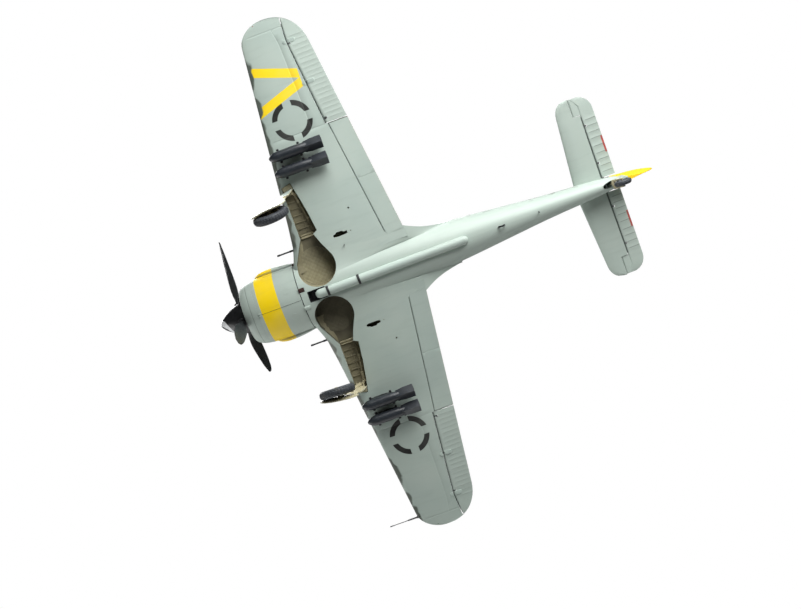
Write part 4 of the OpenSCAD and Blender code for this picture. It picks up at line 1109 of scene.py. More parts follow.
def flap():
    rings, wash = [], []
    a, b = flap_centre(FLAP_X[0]), flap_centre(FLAP_X[1])
    marks = [56.5]
    for x in with_lines([FLAP_X[0], *np.arange(23, 92, 3.0), FLAP_X[1]], marks, LINE_W):
        c = mix(a, b, (x - FLAP_X[0]) / (FLAP_X[1] - FLAP_X[0]))
        r, y1, g = flap_r(x), wing_te(x) - 0.1, in_groove(x, marks, LINE_W)
        nose = [(c[1] + p, c[2] + q) for p, q in (ray(t, r) for t in NOSE)]
        low = [(mix(c[1], y1, f), mix(c[2] - r, chord_z(x, y1) - 0.3, f) * f
                + min(wing_bottom(x, mix(c[1], y1, f)), c[2]) * (1 - f) + 0.10 * g * (0 < f < 1))
               for f in (0.08, 0.25, 0.45, 0.65, 0.85, 1)]
        high = [(mix(c[1], y1, f), min(chord_z(x, mix(c[1], y1, f)) - mix(0.25, 0.08, f), mix(c[2] + r, 1e3, f > 0.3)))
                for f in (1, 0.75, 0.5, 0.28, 0.12)]
        rings.append([(x, p, q) for p, q in nose + low + high])
        wash.append([0.0] * len(nose) + [g] * len(low) + [0.0] * len(high))
    return Shape().loft(rings, wash)


def elevator():
    tapes = [8.2, 12, 16, 20, 24.5, 29.5, 33.5, 37.5, 41.5]
    shape = surface([ELEVATOR_X0, 10, 18, 27, 35, 44, 46, 48, 49.5, 51, 52.5, 54, 55.3, 56.2],
                    lambda x: (ELEVATOR_Y - max(x - 51, 0) * 0.7, TAIL_Z, elevator_r(x)),
                    lambda x: (tail_te(x), TAIL_Z), 0.22, tapes, 0.03, 0.24)
    horn = surface([HORN_X + 0.1, 47, 49, 51, 53, 54.4, 55.4, 56.25], lambda x: (245.9, TAIL_Z, 0.85),
                   lambda x: (ELEVATOR_Y - max(x - 53, 0), TAIL_Z), 0.5)
    return shape.join(horn).block((19, 257.2, TAIL_Z - 0.2), (29.5, 259.3, TAIL_Z + 0.2), 0.08)


RUDDER_ZS = [RUDDER_LOW, -1, 1, 3, 5, 8, 11, 14, 19, 24, 29, 34, 38, 41, 44, 46, 47.2, 48.2, FIN_TOP]


def rudder():
    return surface(RUDDER_ZS, lambda z: (RUDDER_Y, 0.0, rudder_r(z)),
                   lambda z: (smooth_lookup(z, RUDDER_TE), 0.0), 0.3,
                   [9.5, 15, 20.5, 26, 31.5, 37], 0.04, 0.3, swap=True)


def airfoil_loft(stations, spans, y_range, half, grooves=(), line=None):
    """Fin or tailplane: station to leading and trailing edge and half thickness, with a blunt rear face."""
    table = [(0, 0), (0.012, 0.2), (0.04, 0.38), (0.1, 0.6), (0.2, 0.82), (0.34, 0.97), (0.45, 1.0), (0.62, 0.97),
             (0.8, 0.9), (1, 1.0)]
    fs = with_lines([t[0] for t in table], [line] if line else [], 0.012)
    rings, wash = [], []
    for s in with_lines(stations, grooves, LINE_W):
        y0, y1, full = y_range(s)
        h, end = half(s)
        g0 = in_groove(s, grooves, LINE_W)
        upper, dirt = [], []
        for f in fs:
            g = max(g0, in_groove(f, [line], 0.012) if line else 0)
            part = f * (y1 - y0) / (full - y0)
            t = h * lookup(part, table) if part < 0.8 else mix(h * 0.9, end, (part - 0.8) / 0.2)
            upper.append((mix(y0, y1, f), max(t - 0.10 * g * (f > 0.03), 0.02)))
            dirt.append(g if f > 0.03 else 0)
        ring = upper + [(y, -t) for y, t in reversed(upper[1:])]
        rings.append([spans(s, y, t) for y, t in ring])
        wash.append(dirt + list(reversed(dirt[1:])))
    return Shape().loft(rings, wash)


def tailplane():
    def y_range(x):
        full = max(ELEVATOR_Y - elevator_r(x) - GAP, tail_le(x) + 0.5)
        y1 = full if x < HORN_X - 0.1 else min(244.88, tail_te(x) - 0.5)
        return tail_le(x), max(y1, tail_le(x) + 0.4), full

    stations = [1.5, 6, 12, 18, 24, 30, 36, 41, HORN_X - 0.2, HORN_X - 0.06, 48, 50, 52, 53.6, 54.8, 55.8, TAIL_X1]
    return airfoil_loft(stations, lambda x, y, t: (x, y, TAIL_Z + t), y_range,
                        lambda x: (tail_half(x), min(tail_half(x) * 0.82, elevator_r(x) + 0.35)),
                        [])


def fin():
    return airfoil_loft([13, 15, 17, 20, 24, 29, 34, 39, 43, 46, 48, FIN_TOP], lambda z, y, t: (t, y, z),
                        lambda z: (smooth_lookup(z, FIN_LE) if z > 14 else 217.5, *[RUDDER_Y - rudder_r(z) - GAP] * 2),
                        lambda z: (rudder_r(z), rudder_r(z)), [22, 36], 0.45)


def tip_light(x, y, z, r):
    return Shape().lathe([(0, -r * 2.4), (r * 0.6, -r * 1.9), (r, -r * 0.6), (r, r * 0.6), (r * 0.6, r * 1.9),
                          (0, r * 2.4)], 20, aft_frame(x, y, z))


for side, sided in SIDES:
    piece(f"aileron_surface_{side}", sided(aileron()), "under_upper", [f"aileron_{side}"],
          cuts=[sided(c) for c in lug_slots(AILERON_PINS, AILERON_B - AILERON_A)], body=f"aileron_{side}")
    for name, aft, body in (("aileron_covers", True, f"aileron_{side}"), ("hinge_covers", False, "airframe")):
        covers = Shape()
        for x in HINGE_COVERS:
            covers.join(hinge_cover(x, aft))
        piece(f"{name}_{side}", sided(covers), "under", body=body)
    piece(f"flap_panel_{side}", sided(flap()), "under", [f"flap_{side}"], body=f"flap_{side}")
    slots = lug_slots([(x, ELEVATOR_Y, TAIL_Z) for x in (14, 38)], (1, 0, 0))
    piece(f"elevator_surface_{side}", sided(elevator()), "tail", [f"elevator_{side}"],
          cuts=[sided(c) for c in slots], body="elevators")
    piece(f"tailplane_panel_{side}", sided(tailplane()), "tail", [f"tailplane_{side}"])
    piece(f"tip_light_{side}", sided(tip_light(HALF_SPAN - 1.9, 82.6, chord_z(162, 82.6), 0.62)),
          "red_glass" if side == "left" else "green_glass")

piece("rudder_surface", rudder(), "rudder", ["rudder"],
      cuts=lug_slots([(0, RUDDER_Y, z) for z in (19, 38)], (0, 0, 1)), body="rudder")
piece("fin_panel", fin(), "body", ["tail_fin"])


# ---------------------------------------------------------------- cowling, propeller, engine

def ring_band(profile, marks, w=0.28):
    """Profile rows of radius and height with a groove cut at each marked height."""
    rows = []
    for (r0, h0), (r1, h1) in zip(profile, profile[1:]):
        rows.append((r0, h0, 0.0))
        for m in marks:
            if min(h0, h1) + 1.2 * w < m < max(h0, h1) - 1.2 * w:
                for k in (-1, -0.45, 0.45, 1) if h1 > h0 else (1, 0.45, -0.45, -1):
                    h = m + k * w
                    g = in_groove(h, [m], w)
                    rows.append((mix(r0, r1, (h - h0) / (h1 - h0)) - LINE_D * g, h, g))
    rows.append((*profile[-1], 0.0))
    return [(r, h) for r, h, g in rows], [g for r, h, g in rows]


def spun(profile, marks=(), n=144):
    """Ring about the propeller axis."""
    rows, wash = ring_band(profile, marks)
    return Shape().lathe(rows, n, aft_frame(), closed=True, wash=wash)


LIP = [(12.9, 20.2), (12.93, 19.4), (13.15, 18.6), (13.6, 18.0), (14.2, 17.6), (14.8, 17.48), (15.4, 17.55),
       (16.1, 17.9), (16.8, 18.5), (17.5, 19.4), (18.2, 20.6), (18.75, 21.9), (19.2, 23.3), (19.5, 24.7),
       (19.7, 26.2), (18.5, 26.2), (17.8, 23.8), (16.4, 21.2), (15.1, 20.1), (14.3, 20.3), (14.0, 21.2)]
piece("cowl_front_ring", spun(LIP, [22.6]), "cowl", ["cowl_ring"])

COWL = [(26.25, 19.72), (28, 20.02), (30, 20.13), (33, 20.24), (36, COWL_R), (44, COWL_R), (50, 20.25), (53.9, 20.2)]
COWL_SEAMS = [-14, 38]


def cowl_radius(y):
    return smooth_lookup(y, COWL)


def cowl_half():
    ys = [26.25, 27.2, 28, 29.5, 31, 33, 36, 39, 42, 45, 48, 51, 53.9]
    angles = with_lines(list(np.arange(-89.6, 89.7, 4.48)), COWL_SEAMS, 0.9)
    def point(y, a):
        g = max(in_groove(a, [38], 0.9), in_groove(a, [-14], 0.9) * (34 < y < 49))
        (x, z), (u, w) = ray(a, cowl_radius(y) - LINE_D * g), ray(a, cowl_radius(y) - WALL)
        return (x, y, z), (u, y, w), g

    return Shape().shell(ys, angles, point)


BULGE = [(28.5, 0.2, 0.6), (31, 1.7, 2.8), (34, 2.5, 4.0), (40, 2.7, 4.6), (47, 2.2, 4.3), (53.8, 1.3, 3.2)]


def cowl_bulge():
    """Blister on the flank that grows out of the cowling's own curve."""
    rings, wash = [], []
    for y in np.linspace(28.5, 53.8, 24):
        w, h = smooth_lookup(y, BULGE, 1), smooth_lookup(y, BULGE, 2)
        ring, dirt = [], []
        for a in range(-90, 91, 10):
            z = 3 + h * math.sin(math.radians(a))
            base = math.sqrt(cowl_radius(y) ** 2 - z * z) - 0.3
            ring.append((base + (w + 0.3) * max(math.cos(math.radians(a)), 0) ** 0.7, y, z))
            # Only the lower join takes the dark wash: painted shade under the blister.
            dirt.append(1.0 if a < -65 else 0.0)
        rings.append(ring + [(16.5, y, 3 + h * 0.7), (16.5, y, 3 - h * 0.7)])
        wash.append(dirt + [0.0, 0.0])
    return Shape().loft(rings, wash)


def on_cowl(angle, y, r=None):
    """Frame on the cowling's skin with Z outwards and X forwards."""
    c, s = ray(angle)
    r = cowl_radius(y) if r is None else r
    return frame_of((r * c, y, r * s), (c, 0, s), (0, -1, 0))


def cowl_fittings():
    """Latch, a round hatch and small fasteners."""
    m = on_cowl(-88.2, 27.4)
    shape = Shape().block((-1.1, -0.35, -0.2), (1.1, 0.35, 0.32), 0.12, m)
    shape.block((-0.3, -0.62, -0.2), (0.3, 0.62, 0.18), 0.08, m)
    m = on_cowl(-66, 46.5, cowl_radius(46.5) - 0.14)
    shape.lathe([(0, 0.16), (1.75, 0.16), (1.85, 0.02), (2.05, 0.02), (2.15, 0.15), (2.3, 0.12), (2.35, 0)], 40, m)
    for y in np.arange(33.5, 53, 3.25):
        for angle in (COWL_SEAMS[-1] - 2.1, COWL_SEAMS[-1] + 2.1):
            m = on_cowl(angle, y, cowl_radius(y) - 0.02)
            shape.lathe([(0.0, -0.05), (0.2, -0.05), (0.2, 0.04), (0.14, 0.07), (0.0, 0.07)], 10, m)
    return shape


for side, sided in SIDES:
    piece(f"cowl_panel_{side}", sided(cowl_half()), "cowl", [f"cowl_{side}"])
    piece(f"cowl_bulge_{side}", sided(cowl_bulge()), "cowl", angle=50)
    piece(f"cowl_fittings_{side}", sided(cowl_fittings()), "cowl")


def spinner_radius(y):
    return SPINNER_R * (1 - (1 - min(y / 20.4, 1)) ** 1.9) ** 0.66


def blade_frame(k):
    """Local Z runs out along blade k, local Y runs aft."""
    c, s = ray(FIRST_BLADE + 120 * k)
    return frame_of((0, PROP_Y, 0), (c, 0, s), (s, 0, -c))


def spinner_shape():
    ys = [0, 0.08, 0.25, 0.5, 1.0, 1.7, 2.6, 3.8, 5.2, 7, 9, 11, 13, 15, 17, 18.6, SPINNER_END]
    outer = [(spinner_radius(y), y) for y in ys]
    inner = [(max(spinner_radius(y) - 0.9, 0), max(y, 1.4)) for y in reversed(ys) if spinner_radius(y) > 1.2]
    rows, wash = ring_band(outer, [16.4])
    rows, wash = rows + inner + [(0, 1.4)], wash + [0] * (len(inner) + 1)
    return Shape().lathe(rows, 96, aft_frame(), wash=wash)


def blade_shape(k):
    """Tapered, twisted blade with a rounded leading edge and a round root cuff."""
    rings = []
    for s in np.concatenate([np.linspace(9.6, 47, 22), np.linspace(48, 51.6, 9)]):
        half, thick, pitch = (smooth_lookup(s, BLADE, i) for i in (1, 2, 3))
        half *= 0.84
        if s > 47.4:
            half = 2.86 * math.sqrt(max(1 - ((s - 47.4) / 4.25) ** 2, 0.01))
        c, w = ray(pitch)
        ring = []
        for t in np.linspace(0, 2 * math.pi, 25)[:-1]:
            u, v = half * math.cos(t), thick * math.sin(t) * (1 + 0.35 * math.cos(t))
            ring.append((u * c + v * w, u * w - v * c, s))
        rings.append(ring)
    shape = Shape().loft(rings)
    shape.lathe([(0, 2.5), (1.68, 2.5), (1.68, 8.4), (2.05, 8.6), (2.05, 9.6), (1.7, 9.9), (1.55, 10.6),
                 (0, 10.6)], 36)
    return shape.moved(blade_frame(k))


holes, cuffs = [], Shape()
for k in range(3):
    piece(f"blade_{k + 1}", blade_shape(k), "blade", [f"propeller_blade_{k + 1}"], 50,
          body="propeller")
    holes.append(Shape().drum(2.75, 5, 14, 32, blade_frame(k)))
    cuffs.lathe([(1.9, 6.8), (2.74, 6.8), (2.74, 9.6), (2.5, 9.9), (1.9, 9.9)], 32, blade_frame(k), closed=True)
piece("spinner_cone", spinner_shape(), "spinner", ["spinner"], cuts=holes, body="propeller")
piece("spinner_cuffs", cuffs, "black", body="propeller")


def fan_shape():
    shape = spun([(1.5, 21.2), (7.3, 21.2), (7.5, 21.5), (7.5, 23.6), (7.2, 23.8), (1.5, 23.8)], n=64)
    for k in range(12):
        m = turn(math.radians(30 * k), (0, 1, 0))
        rings = []
        for r in np.linspace(7.0, 12.1, 6):
            pitch = math.radians(mix(58, 38, (r - 7) / 5.1))
            half = mix(1.15, 1.5, (r - 7) / 5.1)
            ring = []
            for t in np.linspace(0, 2 * math.pi, 13)[:-1]:
                u, v = half * math.cos(t), 0.18 * math.sin(t)
                ring.append((r, 22.5 + u * math.sin(pitch) * 0.9 + v * math.cos(pitch),
                             u * math.cos(pitch) - v * math.sin(pitch)))
            rings.append(ring)
        shape.join(Shape().loft(rings), m)
    return shape


piece("fan", fan_shape(), "bare", ["cooling_fan"], 40, body="propeller")

# ---------------------------------------------------------------- belly

tray = Shape()
for lo, hi in (((-3.4, 58.4, -15.6), (3.4, 69.6, -15.1)), ((-3.4, 58.4, -19.2), (-3.05, 69.6, -15.3)),
               ((3.05, 58.4, -19.2), (3.4, 69.6, -15.3)), ((-3.4, 58.4, -19.2), (3.4, 58.8, -15.3)),
               ((-3.4, 69.2, -18.9), (3.4, 69.6, -15.3))):
    tray.block(lo, hi, 0.05)
for y in (60.6, 63.2, 65.8):
    tray.block((-2.6, y, -16.6), (2.6, y + 0.5, -15.4), 0.1)
tray.lathe([(0, 0), (0.9, 0), (0.9, 1.6), (0.6, 1.9), (0, 1.9)], 24, frame_of((1.4, 61.8, -17.3), (0, 0, 1)))
piece("belly_recess_tray", tray, "black")

axis = frame_of(TUBE_A, TUBE_B - TUBE_A, (1, 0, 0))
length = float(np.linalg.norm(TUBE_B - TUBE_A))
nose = [(TUBE_R * math.sin(t), -TUBE_R * 1.1 * math.cos(t)) for t in np.linspace(0, math.pi / 2, 9)]
tail = [(TUBE_R * math.cos(t), length + TUBE_R * 1.0 * math.sin(t)) for t in np.linspace(0, math.pi / 2, 9)]
rows, wash = ring_band(nose + [(TUBE_R, 20), (TUBE_R, 45), (TUBE_R, 70)] + tail, [])
tube_shape = Shape().lathe(rows, 48, axis, wash=wash)
tube_shape.lathe([(0, -0.2), (0.75, -0.2), (0.75, 0.5), (0.55, 0.7), (0, 0.7)], 20,
                 axis @ frame_of((0, 2.2, 4.4), (0, 1, 0)))
for t in np.linspace(0, 2 * math.pi, 7)[:-1]:
    tube_shape.drum(0.26, 0, 0.22, 8, axis @ frame_of((1.55 * math.cos(t), 1.55 * math.sin(t), -2.35), (0, 0, -1)))
piece("belly_tube_body", tube_shape, "under", ["belly_tube"], 40)
straps = Shape()
for y in (70.8, 90.3):
    h = (y - 66) / 91 * length
    straps.lathe([(TUBE_R + 0.02, h - 0.75), (TUBE_R + 0.32, h - 0.75), (TUBE_R + 0.38, h - 0.5),
                  (TUBE_R + 0.38, h + 0.5), (TUBE_R + 0.32, h + 0.75), (TUBE_R + 0.02, h + 0.75)], 48, axis,
                 closed=True)
    straps.block((-0.55, -TUBE_R - 0.85, h - 0.6), (0.55, -TUBE_R - 0.2, h + 0.6), 0.12,
                 axis @ turn(math.radians(-24), (0, 0, 1)))
piece("tube_strap_bands", straps, "black", ["tube_straps"])

OUTLET = (5.5, 56.4)
rim = Shape().lathe([(1.45, -19.9), (1.8, -19.9), (1.85, -19.6), (1.75, -18.6), (1.45, -15.4), (1.2, -15.4),
                     (1.2, -19.0)], 32, shift(OUTLET[0], OUTLET[1], 0.55), closed=True)
piece("outlet_rim", rim, "body")
piece("outlet_inside", Shape().drum(1.3, -17.2, -16.4, 24, shift(OUTLET[0], OUTLET[1], 0)), "burnt")

# ---------------------------------------------------------------- guns and air-speed probe

gz = chord_z(GUN_X, 60)
guns = Shape()
guns.lathe([(0.3, 48.4), (0.45, 48.3), (0.58, 48.4), (0.58, 50.0), (0.48, 50.3), (0.48, 56.0), (0.62, 56.4),
            (0.62, 61.1), (0.3, 61.1), (0.3, 50.5)], 28, aft_frame(GUN_X, 0, gz), closed=True)
piece("gun_barrels", both(guns), "black", ["wing_guns"])
py = wing_le(154)
pitot = Shape().lathe([(0, py - 18.5), (0.3, py - 18.5), (0.36, py - 18.1), (0.36, py - 15.6), (0.26, py - 15.2),
                       (0.28, py - 6.8), (0.5, py - 6.2), (0.58, py - 1.0), (0.9, py - 0.2), (0.9, py + 0.4),
                       (0, py + 0.4)], 24, aft_frame(-154, 0, chord_z(154, py)))
piece("airspeed_probe", pitot, "bare", ["pitot_tube"])

# ---------------------------------------------------------------- bombs

BOMB = [(0, 0), (0.35, 0.04), (0.8, 0.22), (1.3, 0.65), (1.8, 1.3), (2.3, 2.1), (2.75, 3.2), (3.05, 4.5),
        (3.2, 6.2), (3.2, 12), (3.2, 17), (3.08, 19.8), (2.75, 22.6), (2.3, 25.4), (1.7, 28.4), (1.1, 31.2), (0, 31.2)]


def bomb_z(x):
    return wing_bottom(x, 80) - 6.6


def bomb_tail():
    """Square sleeve of thin plates, set corner down, on four fins."""
    shape = Shape()
    rows = [(21.0, 2.75), (24.5, 3.55), (27.0, 3.9), (33.4, 3.9)]
    outer = [[(r * math.cos(a), y, r * math.sin(a)) for a in np.linspace(0, 2 * math.pi, 5)] for y, r in rows]
    inner = [[(0.9 * p, y, 0.9 * q) for p, y, q in row] for row in outer]
    shape.skin(outer, inner)
    for k in range(4):
        m = turn(math.radians(90 * k), (0, 1, 0))
        shape.block((0.5, 22.5, -0.16), (3.45, 33.1, 0.16), 0.05, m)
    shape.lathe([(3.0, 29.2), (3.25, 29.2), (3.25, 30.4), (3.0, 30.4)], 4, aft_frame(), closed=True)
    return shape


bodies, tails, racks = Shape(), Shape(), Shape()
for x in BOMB_X:
    z = bomb_z(x)
    bodies.lathe(BOMB, 72, aft_frame(x, BOMB_Y, z))
    bodies.block((-0.35, 10.2, 3.05), (0.35, 12.2, 4.1), 0.12, shift(x, BOMB_Y, z))
    tails.join(bomb_tail(), shift(x, BOMB_Y, z))
    profile = [(69.2, 0.8), (70.4, 2.5), (78, 2.9), (84.4, 2.4), (86.2, 0.8)]
    rings = []
    for y, w in profile:
        top = wing_bottom(x, y) + 0.3
        base = z + BOMB_R + 0.25
        rings.append([(x - w, y, base), (x + w, y, base), (x + w * 1.12, y, mix(base, top, 0.5)), (x + w, y, top),
                      (x - w, y, top), (x - w * 1.12, y, mix(base, top, 0.5))])
    racks.loft(rings)
    for y in (71.2, 84.0):
        for s in (-1, 1):
            racks.tube([(x + s * 0.7, y, z + 4.9), (x + s * 2.2, y, z + 4.3), (x + s * 3.7, y, z + 3.1),
                        (x + s * 3.8, y, z + 2.2)], 0.4, 10)
            racks.block((min(s * 3.25, s * 4.35), -0.75, 1.3), (max(s * 3.25, s * 4.35), 0.75, 2.5), 0.2,
                        shift(x, y, z))
piece("bomb_bodies", both(bodies), "bomb", ["bombs"], 40)
piece("bomb_tail_sleeves", both(tails), "bomb", ["bomb_tails"], 25)
piece("bomb_rack_bodies", both(racks), "black", ["bomb_racks"], 35)

# ---------------------------------------------------------------- wheel bays

def below_skin():
    """Everything that hangs below the inside of the lower skins."""
    return Shape().shell(np.linspace(2.5, 71, 36), np.linspace(55.5, 84, 24),
                         lambda x, y: ((x, y, low_surface(x, y, 0.75)), (x, y, -45)))


def quilt():
    """Padded lining on the roof of the round bay, sewn in diamonds."""
    n, r, pitch = 58, BAY_R - 0.25, 2.1

    def point(i, j):
        u, v = 2 * i / n - 1, 2 * j / n - 1
        x, y = u * math.sqrt(1 - v * v / 2) * r, v * math.sqrt(1 - u * u / 2) * r
        a = math.sin(math.pi * (x + y) / pitch / 1.41) * math.sin(math.pi * (x - y) / pitch / 1.41)
        dome = 0.9 * (1 - (x * x + y * y) / (r * r))
        z = ROOF_Z - 0.12 - 0.2 * abs(a) ** 0.7 - 0.1 * (1 - dome)
        x, y = WHEEL_UP[0] + x, WHEEL_UP[1] + y
        return (x, y, z), (x, y, ROOF_Z - 0.02), max(0, 0.8 - 2.6 * abs(a))

    return Shape().shell(range(n + 1), range(n + 1), point)


def bay_frames():
    """Pressed ribs and a stringer over the leg bay roof, and upright rods along the wall of the round bay."""
    shape = Shape()
    for x in (39.5, 43.6, 47.8, 52.0, 56.2, 60.4):
        y0 = 65.25 + 0.3
        y1 = float(np.interp(x, [36, 48, 58, 67], [76.3, 74.7, 72.8, 70.8])) - 0.3
        shape.block((x - 0.35, y0, ROOF_Z - 0.7), (x + 0.35, y1, ROOF_Z + 0.05), 0.12)
    shape.block((36.6, 70.0, ROOF_Z - 0.45), (64.5, 70.7, ROOF_Z + 0.05), 0.12)
    for a in np.arange(20, 341, 20):
        if ray(a)[0] <= 0.62:
            (x, y), (u, v) = ray(a, BAY_R - 0.28), ray(a, BAY_R)
            x, y = WHEEL_UP[0] + x, WHEEL_UP[1] + y
            shape.rod((x, y, ROOF_Z - 0.3), (x, y, low_surface(WHEEL_UP[0] + u, WHEEL_UP[1] + v, 1.3)), 0.22, 8)
    return shape


def bay_hoop(z, r=0.26):
    path = [ray(a, BAY_R - 0.3) for a in np.arange(52, 309, 8)]
    return Shape().tube([(WHEEL_UP[0] + x, WHEEL_UP[1] + y, z) for x, y in path], r, 8)


def bay_neck():
    """Pale frame across the neck between the two bays."""
    shape = Shape()
    shape.block((33.2, 65.4, -6.7), (34.1, 73.6, -5.7), 0.15)
    shape.block((34.9, 65.6, -6.6), (35.6, 74.2, -5.7), 0.15)
    shape.block((33.4, 65.5, -6.0), (35.5, 73.8, ROOF_Z), 0.15)
    return shape


def brace():
    """Strut with a knee, from the leg pivot to the rear wall of the leg bay: a thick jack, then a thin rod."""
    shape = Shape()
    z = ROOF_Z - 1.3
    pivot, knee, end = np.array([60.6, 71.0, z]), np.array([54.6, 71.7, z]), np.array([44.4, 73.5, z])
    shape.rod(pivot, knee, 0.8, 24).rod(knee, end, 0.38, 20)
    shape.rod(knee + unit(pivot - knee) * 0.8, knee, 0.95, 24)
    shape.drum(0.8, -0.9, 0.9, 20, frame_of(pivot, (0, 1, 0)))
    shape.drum(0.6, -0.6, 1.6, 20, frame_of(end, (0, 0, 1)))
    shape.rod(pivot, (61.7, 70.4, -8.0), 0.42, 16)
    return shape


def pivot_plate():
    """Pale triangular gusset beside the leg pivot, with its trunnion blocks."""
    shape = Shape()
    shape.prism([(63.6, 65.6), (66.2, 65.4), (67.0, 70.6), (64.4, 71.3)], -9.4, -8.9)
    for y in (66.1, 69.9):
        shape.block((60.6, y - 0.45, -9.3), (63.4, y + 0.45, ROOF_Z), 0.2)
    return shape


for side, sided in SIDES:
    rim, arm = (Shape().prism(o, -30, ROOF_Z + 0.55) for o in bay_outlines(0.55))
    walls = raw_object(f"bay_walls_{side}", sided(rim))
    carve(walls, sided(arm), "UNION")
    for outline in bay_outlines(0.0):
        carve(walls, sided(Shape().prism(outline, -40, ROOF_Z)))
    carve(walls, sided(below_skin()))
    piece(f"bay_walls_{side}", walls, "bay", [f"wheel_well_{side}"], 30)
    piece(f"bay_quilt_{side}", sided(quilt()), "canvas", angle=60)
    piece(f"bay_frames_{side}", sided(bay_frames()), "bay")
    piece(f"bay_neck_{side}", sided(bay_neck()), "gear")
    pipes = Shape().join(bay_hoop(-8.2)).join(bay_hoop(-10.4, 0.2))
    pipes.tube([(37, 73.8, -7.2), (44, 73.0, -7.0), (52, 71.9, -7.1), (60, 70.9, -7.4)], 0.28, 8)
    piece(f"bay_pipes_{side}", sided(pipes), "bay", angle=60)
    piece(f"pivot_gusset_{side}", sided(pivot_plate()), "gear")
piece("retraction_braces", both(brace()), "gear", ["retraction_struts"])

# ---------------------------------------------------------------- landing gear

def leg_shape():
    """Oleo leg in its own frame: X aft, Y outboard, Z down the leg."""
    s = Shape()
    lean = unit((0, STRUT_OFFSET, BEND_Z))

    def along(t):
        return lean * t

    s.drum(1.35, -1.2, 1.2, 28, frame_of((0, 0, 0), (1, 0, 0), (0, 1, 0)))
    s.rod(along(0), along(25), LEG_R, 32, chamfer=0.2)
    for t in (3.2, 9.5, 17.5, 24.4):
        s.lathe([(LEG_R - 0.1, -0.5), (LEG_R + 0.16, -0.5), (LEG_R + 0.22, -0.35), (LEG_R + 0.22, 0.35),
                 (LEG_R + 0.16, 0.5), (LEG_R - 0.1, 0.5)], 32, frame_of(along(t), lean, (1, 0, 0)), closed=True)
    s.rod(along(24.5), along(LEG_LENGTH - 10.1), PISTON_R, 28)
    bend = along(float(np.linalg.norm([STRUT_OFFSET, BEND_Z])))
    s.tube([bend - lean * 2.5, bend - lean * 0.8, (0, STRUT_OFFSET, BEND_Z + 0.9), (0, STRUT_OFFSET, BEND_Z + 3.0)],
           PISTON_R + 0.02, 24)
    s.rod((0, STRUT_OFFSET, BEND_Z + 2), (0, STRUT_OFFSET, LEG_LENGTH + 1.1), PISTON_R + 0.05, 28, chamfer=0.3)
    s.rod((0, STRUT_OFFSET + 0.75, LEG_LENGTH), (0, -2.3, LEG_LENGTH), AXLE_R, 24)
    s.lathe([(0, -0.15), (0.95, -0.15), (1.1, 0.0), (1.1, 0.45), (0.7, 0.62), (0, 0.62)], 28,
            frame_of((0, -2.1, LEG_LENGTH), (0, -1, 0), (1, 0, 0)))
    # Torque link behind the piston
    top, low = along(22.8), np.array([0.6, STRUT_OFFSET - 0.05, BEND_Z + 1.8])
    knee = (top + low) / 2 + np.array([3.6, 0, 0.2])
    for a, b in ((top, knee), (low, knee)):
        for d in (-0.55, 0.55):
            s.rod(a + np.array([0.7, d * 1.3, 0]), b + np.array([0, d * 0.6, 0]), 0.24, 10)
    s.rod(knee + np.array([0, -0.75, 0]), knee + np.array([0, 0.75, 0]), 0.34, 14)
    return s


def brake_pipe():
    lean = unit((0, STRUT_OFFSET, BEND_Z))
    path = [lean * t + np.array([-LEG_R - 0.18, 0.1, 0]) for t in (1.5, 8, 15, 22)]
    path += [lean * 25 + np.array([-1.5, 0.2, 0]), lean * 28 + np.array([-1.25, 0.1, 0]),
             lean * 33 + np.array([-1.0, 0, 0]), np.array([-0.95, STRUT_OFFSET, BEND_Z + 2]),
             np.array([-0.9, STRUT_OFFSET, LEG_LENGTH - 1])]
    return Shape().tube(path, 0.17, 8)


DOOR_REAR = ([24, 35.9, 48, 58, 67.6], [79, 76.5, 74.9, 73, 70.9])
DOOR_MARGIN = 1.7


def door_lining():
    """Thick padded lining on the inner face of the leg door, drawn in the closed place and swung down with it."""
    fold = turn(FOLD_ANGLE, FOLD_AXIS, PIVOT)
    if np.linalg.norm(fold[:3, :3] @ WHEEL_UP + fold[:3, 3] - WHEEL_DOWN) > 1:
        fold = turn(-FOLD_ANGLE, FOLD_AXIS, PIVOT)
    rings = []
    for x in list(np.linspace(11.2, 26, 14)) + list(np.linspace(28, 58.6, 18)):
        reach = math.sqrt(max(BAY_R ** 2 - (x - WHEEL_UP[0]) ** 2, 0))
        front = min(WHEEL_UP[1] - reach if reach else 99, float(np.interp(x, *zip(*BAY[:3]))) if x > 19.5 else 99)
        rear = max(WHEEL_UP[1] + reach if reach else 0, float(np.interp(x, *DOOR_REAR)) if x > 24 else 0)
        front, rear = front + DOOR_MARGIN, rear - DOOR_MARGIN
        ys = np.linspace(front, rear, 9)
        ring = [(x, y, wing_bottom(x, y) + 0.45) for y in ys]
        ring += [(x, y, wing_bottom(x, y) + (1.0 if y in (front, rear) else 1.45)) for y in reversed(ys)]
        rings.append(ring)
    return Shape().loft(rings).moved(fold)


